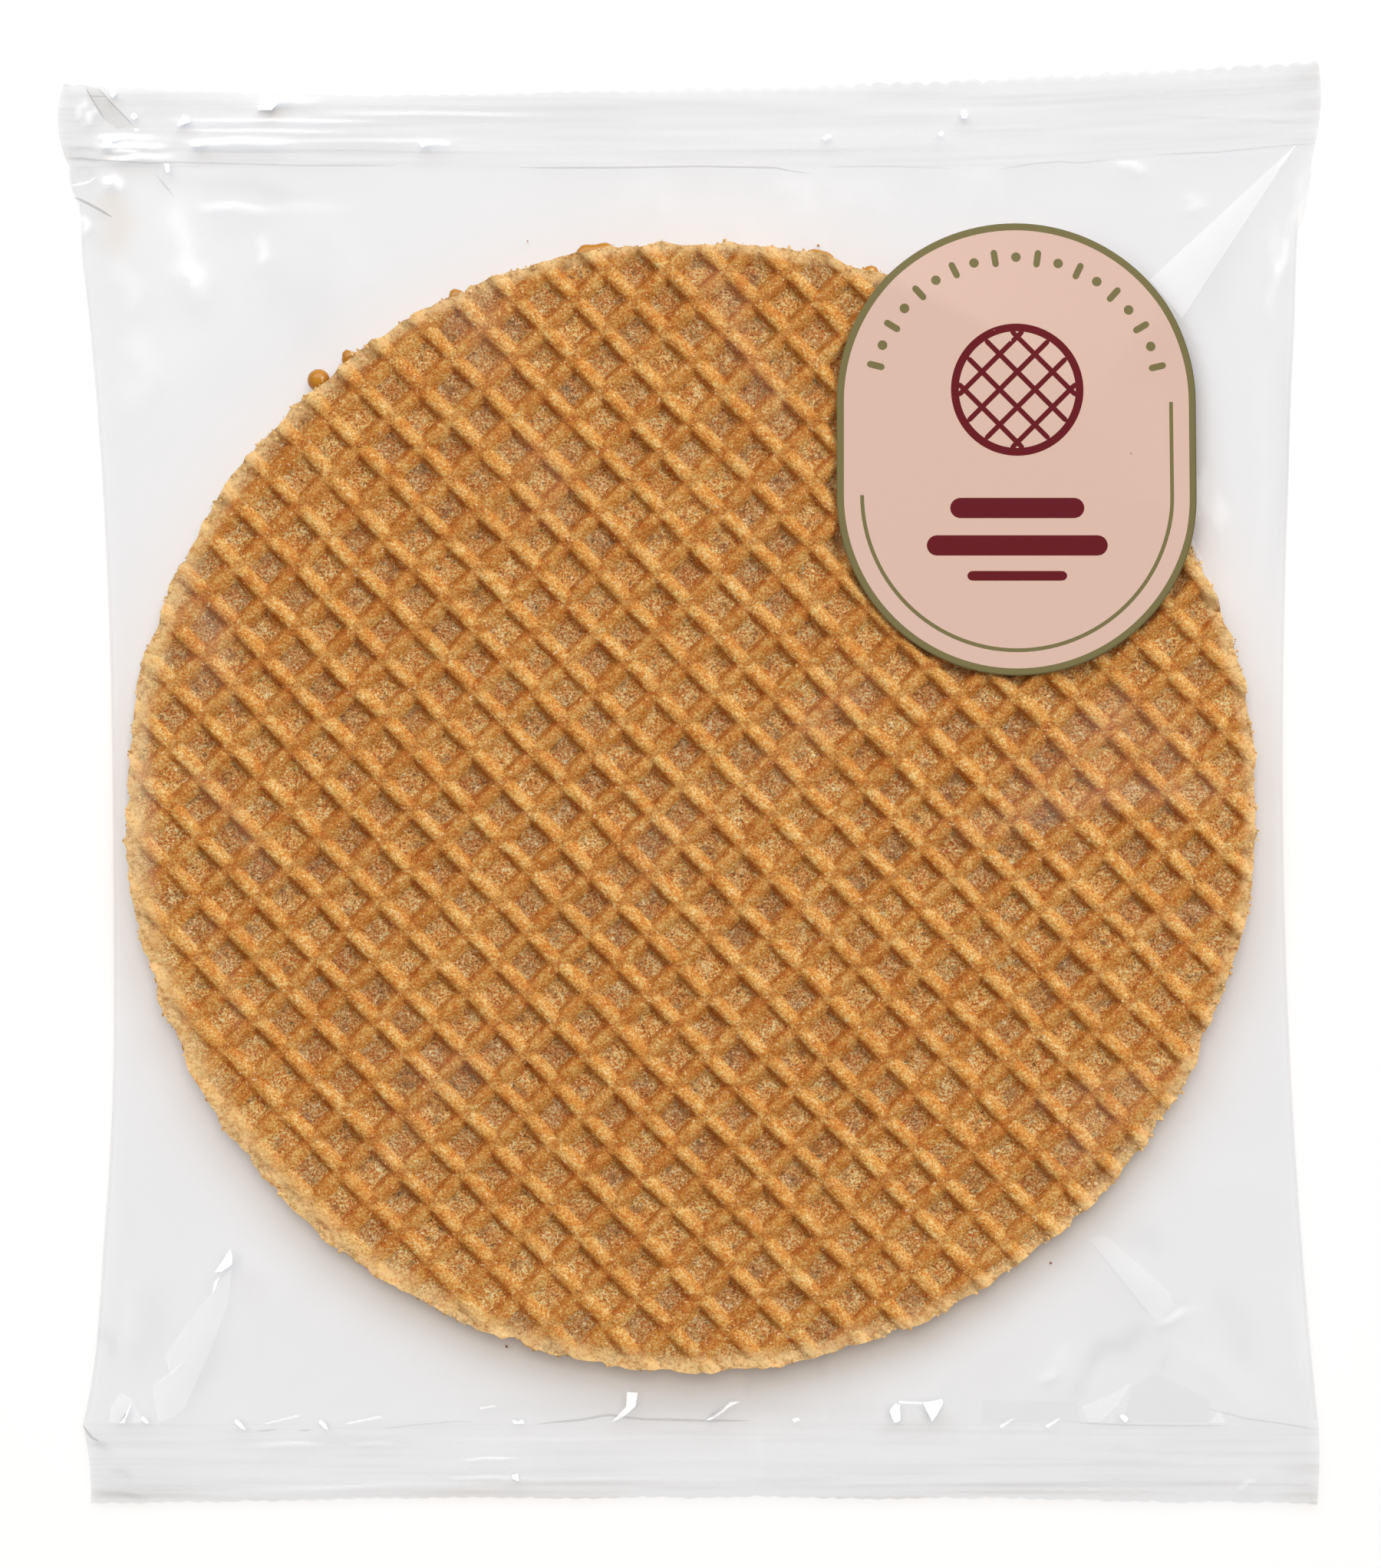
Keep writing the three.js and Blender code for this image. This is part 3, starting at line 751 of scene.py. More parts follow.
film = {
    "columns": 212,
    "rows": 230,
    "crowding": 0.45,       # how much closer the grid is at the ends and sides than over the waffle
    "sealColumns": 240,
    "sealRows": 40,
    "toothPitch": 2.45, "toothDepth": 0.62,
    "ribPitch": 2.05, "ribHeight": 0.022,
    "sealThickness": 0.1, "pleatLift": 0.06,
    "stickerShadow": 0.22, "stickerShadowWidth": 1.3,     # painted shadow of the sticker on the film beside it, and its width
    "clear": (0.948, 0.951, 0.956, 1), "creased": (0.998, 0.998, 0.998, 1),     # what one sheet lets through
    # the next colours: the milky share's, which is painted sheen and glints, partly real haze, and the grey
    # share's, which is painted shade
    "haze": (0.9, 0.893, 0.88, 1), "grey": "#6E6860", "stain": "#E3BE7C", "gloss": 0.09,
    "innerGloss": 0.15,     # the gloss left on the sheets' hidden sides
    "weldX": 12.4, "weldHalf": 5.4, "weldLift": 0.08,
    "upperLeft": (-80.1, -81.7, -81), "upperRight": (80.6, 81.6, 81.3),
    "lowerLeft": (-78.4, -77.6, -77.5), "lowerRight": (81.2, 81.4, 81.2),
    "upperCut": {"lowX": -45, "lowY": 89.2, "leftRise": 1.4, "rightRise": 4.35, "rightPower": 1.9},
    "lowerCut": {"middleY": -92.3, "bow": 0.95},
    # folds: from x, y to x, y, half width there and there, height, share of the width before the crest
    "folds": [
        (79.4, 80, 76.2, 64, 0.3, 0.9, 0.5, 0.6), (49.4, -56.3, 58.8, -66.5, 1.6, 2.6, 0.42, 0.7),
        (58, -65.6, 77, -83.4, 2.6, 3.4, 0.42, 0.7), (64, -45, 72, -62, 1.5, 3, 0.4, 0.7),
        (-81, 77, -76, 73, 0.5, 0.8, 0.8, 0.5), (-64, 80, -58, 71, 0.6, 2, 0.4, 0.35),
        (-79, -82, -62, -66, 0.4, 1.8, 0.5, 0.5),
    ],
    # soft ridges between the rim and the seals, as the streaks below
    "ridges": [
        (65.5, -67, 59, -70.5, 1, 0.5), (60.5, -69.6, 53, -75, 1.3, 0.55), (53.8, -74, 51.2, -82, 1.3, 0.45),
        (47.6, -73.6, 46, -78, 1.3, 0.55), (36, -68, 30, -82, 3.4, 0.6), (-40, -79, 8, -80, 1.3, 0.3),
        (-72.5, 70, -72.5, 58, 3.2, 0.7), (-66, 73, -62.5, 60, 3, 0.7), (-70.5, 58, -70, 46, 2.6, 0.6),
        (-63.5, 74.6, -54, 74.4, 0.9, 0.3), (-76, 79, -75, 74, 1.2, 0.45), (-55.5, 69, -53.5, 65, 1.6, 0.4),
        (-67, 35, -68.5, 20, 1.4, 0.3), (-72.5, -20, -72, -52, 2, 0.35), (20, 77, 45, 78.5, 1.2, 0.25),
    ],
    # soft tension waves over the waffle: from x, y to x, y, half width, height
    "streaks": [
        (-30, 64, -25.5, 55.5, 3.6, 0.62), (1.1, 69, 8, 54, 3.2, 0.58), (7, 56, 12, 45, 2.2, 0.36),
        (57, 11.5, 46, 3, 3.2, 0.5), (32, -4.5, 73, -0.5, 2.6, 0.46), (55, -18.5, 71, -16, 1.9, 0.3),
        (40, -41.5, 65, -37, 2.2, 0.36), (-65.5, 28, -58, 12, 2.2, 0.36), (-67, 4, -53, -13, 2.4, 0.4),
        (-64.5, -17.5, -57, -30, 2, 0.32), (-48, -46, -20, -14, 2.2, 0.2), (-52, 38, -30, 20, 2.6, 0.2),
        (10, 24, 26, -6, 3, 0.2), (-10, -60, 6, -44, 2.4, 0.2),
    ],
    # painted sheen as milky strokes (above 0) and painted shade as grey ones (below 0): from x, y to x, y, half
    # width, share
    "strokes": [
        (-67, 78, -66, 46, 8, 0.075), (-66, 76, -65, 64.5, 1.9, 0.16), (-65.2, 68.5, -61.8, 62.5, 1.8, 0.22),
        (-64.4, 66.6, -63.2, 64.2, 0.9, 0.3), (-74, 67.5, -70.5, 60.5, 1.8, 0.14), (-71, 60, -71, 48, 2.4, 0.1),
        (-63.6, 74.6, -54.5, 74.2, 0.7, 0.3), (-57, 74.2, -44, 74.6, 0.8, 0.1),
        (-55, 71, -54.9, 66.4, 0.9, 0.2), (-67, 78.6, -48, 75.8, 1.5, -0.05), (-51, 75.5, -40, 65.5, 2.6, 0.05),
        (-80, 79.5, -76.5, 79, 1.6, -0.06), (-78.3, 73.6, -77.8, 71.2, 0.8, 0.4),
        (-75.8, 78, -73, 77.6, 0.9, 0.5), (-54, 66, -46, 58, 5, -0.025), (76, 72.5, 75, 60, 1.1, 0.2),
        (77.4, 71, 76, 65.5, 0.8, 0.3), (79.6, 79, 77.4, 71, 0.9, 0.2), (65.2, 76.4, 65.2, 73.8, 1.5, 0.16),
        (55, 80.9, 59, 79.4, 0.8, 0.25), (66, 60, 71, 72, 2.6, -0.02), (-9, 77, -1, 75.5, 3, 0.06),
        (11.5, 79, 16.5, 74.5, 2.2, 0.07), (34, 77.5, 41, 77, 3, 0.06), (18, 76.5, 27, 76, 2.2, 0.05),
        (74, 58, 73.5, 20, 1.6, 0.06), (77.3, 58, 76.7, 30, 0.9, -0.05), (51, -58, 61, -68.5, 2.8, 0.1),
        (60.5, -70.2, 74.8, -81, 1.9, 0.1), (49.8, -72, 44.9, -79.5, 1.7, 0.18),
        (47, -74.8, 45.4, -77.6, 1.1, 0.14), (60.2, -69.9, 65.6, -67.2, 0.8, 0.26),
        (60.5, -68.4, 65, -66.4, 1, -0.05), (60, -69.6, 52, -73.6, 1.7, -0.07),
        (53.2, -72.6, 49.9, -79.6, 1.6, -0.06), (51, -77.8, 56, -74.6, 1.4, 0.1),
        (44.8, -66.6, 37.6, -75.5, 1.6, 0.09), (56.5, -57.5, 61, -59.8, 2.2, -0.04),
        (78, -64, 79.6, -77, 1.5, 0.12), (64, -52, 75, -50, 3.5, 0.05), (69, -64, 72, -76, 2.6, -0.03),
        (61.6, -71.5, 61, -76, 0.8, -0.04), (-59, -62, -56.6, -73.5, 1.8, 0.07),
        (-55.5, -59.5, -51, -68, 2.6, 0.06), (-48, -68, -43, -71, 2.6, 0.04),
        (-72.3, -64, -73.2, -74.5, 0.9, 0.08), (-74.5, -50, -74.5, -66, 1, 0.05),
        (-76.5, -70, -73.5, -74, 1.2, -0.05), (-68.5, -64, -71, -76, 2.6, -0.03),
        (-60.5, -70.5, -64.5, -80, 1.6, -0.035), (-47.5, -79, -43.5, -76.5, 1.4, 0.06),
        (31, -72.5, 34, -80, 2.6, 0.11), (-30, -80.2, 25, -80.4, 1.5, -0.03), (-38, -80.4, -30, -81.4, 1, 0.05),
        # painted reflections along the streaks over the waffle
        (-30, 62.5, -25.5, 56, 2.8, 0.025), (1.1, 68, 8, 55, 2.6, 0.027), (7.5, 56, 12.5, 45, 2.2, 0.023),
        (57, 11.5, 51.5, 6, 2.6, 0.027), (33, -5.5, 72.5, 0.5, 2.3, 0.034), (56, -18.2, 70, -15.8, 1.2, 0.018),
        (41, -41.5, 65, -36, 1.5, 0.020), (-65.3, 27, -58.8, 13, 1.5, 0.023),
        (-69.8, 12, -68.6, -18, 0.9, 0.041), (-65.5, 5.5, -52, -14, 1.6, 0.023),
        (-61.4, -17, -57, -34, 1.1, 0.020), (15.5, -73.4, 24, -68.8, 1.4, 0.027),
    ],
    # painted reflections: soft veils of gloss over the waffle, as a faint milky share
    "veils": [
        (-33, 66, -22, 53, 5, 0.016), (-20, 46, -18, 32, 4, 0.012), (-68, 26, -58, 12, 5, 0.014),
        (6, -2, 24, 14, 4, 0.014), (40, 0, 68, 8, 6, 0.016), (-42, -50, -24, -30, 4, 0.01),
        (-10, -14, 2, -2, 4, 0.008), (-71, 12, -71.5, -16, 2.2, 0.03), (46, -50, 58, -38, 3.5, 0.016),
    ],
    "stains": [(-74.6, 77.5, -73.6, 68.5, 2.4, 0.11)],
    # painted highlights (above 0) and painted shade (below 0) on the two seals: from x, y to x, y, half width,
    # share
    "sealStrokes": [
        (-75.4, 80.9, -67, 81.1, 0.4, 0.5), (-76.2, 82.5, -68, 82.5, 0.4, 0.6),
        (-76.2, 83.7, -69.5, 83.6, 0.35, 0.55), (-75, 81.8, -71, 81.8, 0.25, 0.35),
        (-66, 85.9, -42, 85.8, 0.22, 0.3), (-65, 84.6, -44.6, 84.4, 0.18, 0.3),
        (-64.8, 83, -52, 83.2, 0.5, 0.35), (-62, 83, -30, 83.3, 0.3, 0.14), (-47, 86.9, -20, 86.6, 0.3, 0.14),
        (-80.4, 82.1, -76.2, 82, 0.2, -0.3), (-69, 81.9, -20, 81.6, 0.18, -0.22),
        (-80.4, 80.9, -76, 80.5, 0.25, -0.35), (-25, 81.6, 40, 81.9, 0.16, -0.1),
        (-79.2, 86, -78, 88.7, 0.5, 0.2), (-78.2, 85.2, -77, 87.5, 0.5, 0.25),
        (-34.9, 82.8, -31, 82.9, 0.3, 0.35), (-22, 88.2, 12, 88, 0.5, -0.05), (52, -84.8, 60, -84.9, 1.9, 0.06),
        (-55.5, -85.3, -47.5, -85.2, 0.3, 0.28), (-44, -85.3, -38, -85.2, 0.3, 0.16),
        (-57, -91.2, -20, -90.2, 0.4, 0.2), (-29.5, -87.3, -22.4, -87.1, 0.18, 0.45),
        (-31, -89.7, -22, -89.6, 0.3, 0.28), (-23, -89.9, 14, -89.8, 0.3, 0.2),
        (9.2, -83.2, 8.6, -91.5, 1.1, 0.07), (71, -91.2, 73.2, -89.8, 0.5, 0.25),
        (72, -88.9, 76.5, -88.6, 0.5, 0.1), (-30, -84.6, 20, -84.4, 0.35, 0.06),
        (10, -91, 50, -90.6, 0.3, -0.1), (40, -90.3, 72, -90.4, 0.25, -0.1), (56, -86.4, 80, -86.6, 0.2, -0.1),
        (20, -88, 81, -88.2, 0.2, -0.08), (60, 86.5, 81.4, 85.4, 0.2, -0.12),
        (45, 88.2, 81.3, 90.6, 0.2, -0.12), (-56, 87.9, -48, 88.6, 0.5, 0.2),
        (-75, -88.5, -72, -89.6, 0.6, -0.1), (-77, -91.5, -70, -92.4, 0.4, -0.2),
        (-77, -85, -75, -86, 0.6, -0.15),
    ],
    # dimples that catch the softboxes: x, y, half length, half width, turn, height
    "dimples": [
        (-60.1, -61.6, 1.4, 0.8, 60, 0.5), (-72.9, -81.4, 1.2, 0.8, 60, 0.5),
        (-69.6, -81.8, 0.8, 0.6, 120, 0.35), (55.9, -81.4, 1.2, 0.7, 70, 0.45), (46.5, -81.6, 1, 0.6, 40, 0.35),
        (40.8, -81.6, 1.2, 0.6, 40, 0.35), (68, -81.6, 0.9, 0.5, 30, 0.3), (-7.3, -80.9, 1.8, 0.75, 55, 0.5),
        (3.1, -80.9, 1.2, 0.7, 80, 0.4), (65, 74, 1.1, 0.8, 30, 0.3), (-58.1, -81.4, 1, 0.6, 150, 0.4),
        (-47.2, -81.4, 1, 0.6, 150, 0.4), (-38, -81, 2.2, 0.5, 170, 0.3), (-30, -81.2, 1.6, 0.5, 10, 0.3),
        (17, -81.2, 1.6, 0.5, 170, 0.3), (-75.2, 77.7, 0.7, 0.5, 0, 0.3), (-54.9, 67.2, 0.8, 0.6, 30, 0.3),
        (25, -81.2, 1.4, 0.5, 0, 0.3), (8, 79, 1.4, 0.5, 10, 0.25), (-20, 77.6, 1.8, 0.5, 0, 0.2),
    ],
    # the same on the two seals
    "sealDimples": [
        (-34.7, 83, 1.3, 0.5, 0, 0.2), (17.7, 83.5, 1.1, 0.5, 10, 0.2), (32.5, 84.1, 0.8, 0.4, 10, 0.16),
        (35.5, 86.6, 0.9, 0.7, 30, 0.2), (-74.7, 89, 0.8, 0.7, 0, 0.22), (-72, 86.2, 0.9, 0.6, 30, 0.2),
        (-75, 83, 1, 1, 0, 0.26), (-53.5, 87.8, 2.8, 0.7, 10, 0.26), (-65, 85.8, 1.4, 0.6, 20, 0.22),
        (-61, 85.9, 2.8, 0.45, 0, 0.15), (-59, 82.8, 3, 0.5, 0, 0.18), (-68, 81, 3, 0.5, 0, 0.18),
        (-25.8, -89.8, 0.7, 0.4, 0, 0.16), (-12.6, -90, 1.6, 0.35, 0, 0.14), (10, -89.7, 2.5, 0.35, 0, 0.12),
        (40, -89.9, 3, 0.35, 0, 0.12), (-55, -88.2, 2.5, 0.4, 0, 0.12), (-71, -87, 1.5, 0.5, 20, 0.15),
        (8, -85, 0.8, 2, 0, 0.12), (60, -86, 4, 0.4, 0, 0.12),
    ],
}


def dimpled(x, y, places):
    # a bell-shaped bump at each place, longer one way than the other
    total = np.zeros_like(x)
    for px, py, halfLong, halfWide, turn, height in places:
        c, s = math.cos(math.radians(turn)), math.sin(math.radians(turn))
        u, v = ((x - px) * c + (y - py) * s) / halfLong, ((y - py) * c - (x - px) * s) / halfWide
        total = total + height * np.exp(-np.minimum(u * u + v * v, 50))
    return total


def besideLine(x, y, x0, y0, x1, y1):
    # how far along a line, as a share of its length, and how far to its left
    length = math.hypot(x1 - x0, y1 - y0)
    ux, uy = (x1 - x0) / length, (y1 - y0) / length
    return ((x - x0) * ux + (y - y0) * uy) / length, (y - y0) * ux - (x - x0) * uy


def folded(x, y, places):
    # a tent along each line, steeper on one side of its crest, that fades at both ends
    total = np.zeros_like(x)
    for *line, half0, half1, height, crest in places:
        along, aside = besideLine(x, y, *line)
        half = half0 + (half1 - half0) * np.clip(along, 0, 1)
        across = aside / half / 2 + 0.5
        tent = np.minimum(across / crest, (1 - across) / (1 - crest))
        fade = smoothStep(-0.08, 0.12, along) * (1 - smoothStep(0.88, 1.08, along))
        total = total + height * half / max(half0, half1) * fade * np.clip(tent, 0, 1)
    return total


def waved(x, y, places):
    # a long soft swell along each line: a bell across it, fading to both ends
    total = np.zeros_like(x)
    for *line, half, height in places:
        along, aside = besideLine(x, y, *line)
        across = (aside + 0.25 * half * np.sin(9 * along)) / half
        fade = smoothStep(-0.15, 0.3, along) * (1 - smoothStep(0.7, 1.15, along))
        total = total + height * fade * np.exp(-np.minimum(across * across * 1.6, 50))
    return total


def fromSticker(x, y):
    # the way from the sticker's middle line, and how far past its edge: below 0 inside it
    dx, dy = x - sticker["centre"][0], y - sticker["centre"][1]
    dy = np.sign(dy) * np.maximum(0, np.abs(dy) - sticker["straight"] / 2)
    return dx, dy, np.hypot(dx, dy) - sticker["radius"]


def filmBase(x, y):
    # flat over the waffle, then falling to the folds as (1 - t) to a power
    t = outwards(x, y)
    return pouch["foldHeight"] + (pouch["filmTop"] - pouch["foldHeight"]) * (1 - t) ** pouch["tentPower"]


def filmFolds(x, y):
    # heights of the wrinkles that tension and the seals put into the film
    t = outwards(x, y)
    free = smoothStep(0, 0.25, t) * (1 - smoothStep(0.93, 1, t))
    soft = 0.3 * patchNoise(x, y, 26, 81) + 0.16 * patchNoise(x, y, 12, 82) + 0.05 * patchNoise(x, y, 5, 83)
    fromSeal = np.maximum(0, np.minimum(upperSealY(x) - y, y - pouch["lowerSealY"]))
    pucker = np.exp(-fromSeal / 4) * (0.2 * patchNoise(x, 0 * y, 3.4, 84) + 0.1 * patchNoise(x, 0 * y, 1.7, 85))
    nearEdge = smoothStep(0, 1.2, fromSeal) * smoothStep(0, 0.08, t) * (1 - smoothStep(0.985, 1, t))
    marks = dimpled(x, y, film["dimples"]) + folded(x, y, film["folds"]) + waved(x, y, film["ridges"])
    over = 1 - smoothStep(0.1, 0.4, t)
    lift = over * (waved(x, y, film["streaks"]) + 0.05 * (1 + patchNoise(x, y, 9, 86)))
    # none of them under the sticker
    return (free * soft + nearEdge * (pucker + marks) + lift) * smoothStep(0.4, 3.4, fromSticker(x, y)[2])


def clearFilm(name, headOn, clearness):
    # stretched polypropylene, 0.03 mm thick: clear, with a sharp gloss that grows at low angles;
    # its milky share, lit by the film's own lamps, is painted sheen and glints, partly real haze where
    # it is creased or lies double, and its grey share, mostly where it is bunched, is painted shade
    material, tree, shader = newMaterial(name)
    tones = addNode(tree, "ShaderNodeAttribute", {"attribute_name": "tones"}).outputs
    milkyAndSheen, grey, stain = addNode(tree, "ShaderNodeSeparateColor", Color=tones["Color"]).outputs
    tint = mixColours(tree, grey, clearness, film["grey"])
    clear = addNode(tree, "ShaderNodeBsdfTransparent", Color=mixColours(tree, stain, tint, film["stain"]))
    haze = addNode(tree, "ShaderNodeBsdfDiffuse", Color=film["haze"])
    body = addNode(tree, "ShaderNodeMixShader", i0=milkyAndSheen, i1=clear.outputs[0], i2=haze.outputs[0])
    gloss = addNode(tree, "ShaderNodeBsdfGlossy", Roughness=film["gloss"], Color="#FFFFFF")
    # the reflected share is the head-on share plus the rest times (1 - cosine) to the fifth power
    share = addNode(tree, "ShaderNodeLayerWeight", Blend=0.5).outputs["Facing"]
    for kind, *numbers in (("POWER", 5.0), ("MULTIPLY_ADD", 1 - headOn, headOn), ("MULTIPLY", tones["Alpha"])):
        values = {"i%d" % k: number for k, number in enumerate(numbers, 1)}
        share = addNode(tree, "ShaderNodeMath", {"operation": kind}, i0=share, **values).outputs[0]
    mixer = addNode(tree, "ShaderNodeMixShader", i0=share, i1=body.outputs[0], i2=gloss.outputs[0])
    output = next(n for n in tree.nodes if n.type == "OUTPUT_MATERIAL")
    setInputs(tree, output, Surface=mixer.outputs[0])
    tree.nodes.remove(shader)
    return material


def filmTones(x, y):
    # milky, grey and stained shares of the upper sheet: strokes of each, the milky ones painted sheen
    # and the grey ones painted shade; a faint general milkiness off the waffle, partly real haze and
    # partly painted soft reflection; and a painted shadow of the sticker, grey beside it
    off = smoothStep(0.05, 0.3, outwards(x, y))
    strokes = waved(x, y, film["strokes"])
    cloudy = 0.008 + 0.012 * patchNoise(x, y, 13, 121) + 0.008 * patchNoise(x, y, 5, 122)
    veil = waved(x, y, film["veils"]) * (0.8 + 0.6 * patchNoise(x, y, 4, 123))
    milkyAndSheen = np.clip(off * cloudy + 0.65 * np.maximum(strokes, 0) + veil, 0, 1)
    # a painted shadow of the sticker, grey on the film beside its right and lower edge
    dx, dy, past = fromSticker(x, y)
    shaded = smoothStep(-0.2, 0.9, (dx - 0.4 * dy) / np.maximum(1, np.hypot(dx, dy)))
    paintedStickerShadow = film["stickerShadow"] * np.exp(-(np.maximum(0, past) / film["stickerShadowWidth"]) ** 2) * shaded
    grey = np.clip(np.maximum(-strokes, 0) + paintedStickerShadow, 0, 1)
    return stacked(milkyAndSheen, grey, waved(x, y, film["stains"]), 1)


def makePouchFilm(material):
    # two sheets on one grid, meeting at the side folds and along both seals
    columns, rows = film["columns"], film["rows"]
    p, q = np.meshgrid(np.linspace(0, 1, columns), np.linspace(0, 1, rows))
    p, q = (k - film["crowding"] * np.sin(2 * math.pi * k) / (2 * math.pi) for k in (p, q))
    nominalY = pouch["lowerSealY"] + (pouch["upperSealY"] - pouch["lowerSealY"]) * q
    left, right = sideX(pouch["left"], nominalY), sideX(pouch["right"], nominalY)
    x = left + (right - left) * p
    y = pouch["lowerSealY"] + (upperSealY(x) - pouch["lowerSealY"]) * q
    upper = filmBase(x, y) + filmFolds(x, y)
    t = outwards(x, y)
    lower = pouch["foldHeight"] * t ** 2.2 + 0.1 * patchNoise(x, y, 9, 91) * smoothStep(0, 0.3, t) * (1 - t)
    # the lengthwise weld on the back: a band pressed up a little, milky along its two sides
    intoWeld = film["weldHalf"] - np.abs(x - film["weldX"])
    band = smoothStep(-0.6, 0, intoWeld)
    lower = np.minimum(np.maximum(0.03, lower) + film["weldLift"] * band, upper)
    border = np.ones_like(x, dtype=bool)
    border[1:-1, 1:-1] = False
    upper, lower = (np.where(border, pouch["foldHeight"], z) for z in (upper, lower))
    inner = np.nonzero(~border.ravel())[0]
    place = np.arange(rows * columns)
    place[inner] = rows * columns + np.arange(len(inner))
    top = gridFaces(rows, columns)
    weldMilk = 0.05 * band * (1 - 0.7 * smoothStep(0.8, 1.8, intoWeld))
    points = np.vstack([stacked(x, y, upper), stacked(x, y, lower)[inner]])
    tones = np.vstack([filmTones(x, y), stacked(weldMilk, 0, 0, film["innerGloss"])[inner]])
    piece = makePiece("bagFilm", points, [top, place[top][:, ::-1]], [material], tones, creased=80)
    return piece


def cutY(end, x):
    if end == "upper":
        cut = film["upperCut"]
        leftPart = ((x - cut["lowX"]) / (film["upperLeft"][2] - cut["lowX"])) ** 2
        rightPart = np.maximum(0, (x - cut["lowX"]) / (film["upperRight"][2] - cut["lowX"])) ** cut["rightPower"]
        return cut["lowY"] + np.where(x < cut["lowX"], cut["leftRise"] * leftPart, cut["rightRise"] * rightPart)
    return film["lowerCut"]["middleY"] - film["lowerCut"]["bow"] * (x / film["lowerRight"][2]) ** 2


def makeSeal(name, end, material):
    # both films pressed together: a band with fine ribs along it and a saw-cut edge
    columns, rows = film["sealColumns"] + 1, film["sealRows"]
    p, s = np.meshgrid(np.linspace(0, 1, columns), np.linspace(0, 1, rows))
    # the ends bow: a parabola through their start, middle and far corner
    bow = ((1 - s) * (1 - 2 * s), 4 * s * (1 - s), s * (2 * s - 1))
    leftX = sum(share * value for share, value in zip(bow, film[end + "Left"]))
    rightX = sum(share * value for share, value in zip(bow, film[end + "Right"]))
    x = leftX + (rightX - leftX) * p
    way = 1 if end == "upper" else -1
    startY = upperSealY(x) if end == "upper" else pouch["lowerSealY"] + 0 * x
    # the knife cut deepest at the upper right; elsewhere the edge is more wavy than toothed
    sharp = 0.4 + 0.6 * smoothStep(-30, 20, x) if way > 0 else 0.35
    tooth = sharp * (np.abs(np.cos(math.pi * x / film["toothPitch"])) - 0.64)
    tooth = tooth + 0.2 * patchNoise(x, 0 * x, 3, 106) + 0.45 * (1 - sharp) * patchNoise(x, 0 * x, 7, 107)
    y = startY + (cutY(end, x) + way * tooth * film["toothDepth"] - startY) * s
    width = np.abs(y - startY)
    strength = np.clip(0.6 + 0.9 * patchNoise(x, y * 3, 14, 101), 0, 1.4)
    turn = 2 * math.pi * width / film["ribPitch"]
    ribs = film["ribHeight"] * strength * (np.sin(turn) + 0.35 * np.sin(turn / 0.37))
    wave = 0.22 * patchNoise(x, y, 18, 102) * s + 0.07 * patchNoise(x, y * 0.4, 5, 103)
    lift = smoothStep(0, 0.08, s) * (ribs + wave + dimpled(x, y, film["sealDimples"]))
    z = pouch["foldHeight"] - pouch["droop"] * width + lift
    half = film["sealThickness"] / 2
    points = np.vstack([stacked(x, y, z + half), stacked(x, y, z - half)])
    # painted sheen and shade in fine streaks along the seal, greyer towards its cut edge and ends
    streak = patchNoise(x, width * 28, 14, 104) + 0.7 * patchNoise(x, width * 60, 14, 105)
    towards = smoothStep(0.6, 1, s) * (1.0 if way < 0 else 0.3) + smoothStep(74, 81, np.abs(x)) * 0.8
    # the seal strokes: painted highlights, and painted shade below 0
    strokes = waved(x, y, film["sealStrokes"]) * smoothStep(-0.3, 0.2, strength)
    strokes = np.where(strokes > 0, 0.75, 0.4) * strokes
    milkyAndSheen = np.clip(0.02 * np.maximum(0, streak) + np.maximum(strokes, 0), 0, 1)
    dark = np.maximum(0, -streak)
    grey = np.clip(0.022 * dark * (1 + towards) + 0.006 * towards + np.maximum(-strokes, 0), 0, 1)
    tones = [stacked(milkyAndSheen, grey, 0.03 * towards * dark, gloss) for gloss in (1, film["innerGloss"])]
    piece = makePiece(name, points, plateFaces(rows, columns, way < 0), [material], np.vstack(tones), creased=60)


filmMaterial = clearFilm("clear polypropylene film", 0.012, film["clear"])
creasedMaterial = clearFilm("creased polypropylene film", 0.01, film["creased"])
pouchFilm = makePouchFilm(filmMaterial)
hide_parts("bag")
makeSeal("sealUpper", "upper", filmMaterial)
makeSeal("sealLower", "lower", filmMaterial)


def filmTop(x, y):
    # the upper sheet, and past the seal lines the seals' own height
    past = np.maximum(0, np.maximum(y - upperSealY(x), pouch["lowerSealY"] - y))
    return np.where(past > 0, pouch["foldHeight"] - pouch["droop"] * past, filmBase(x, y) + filmFolds(x, y))


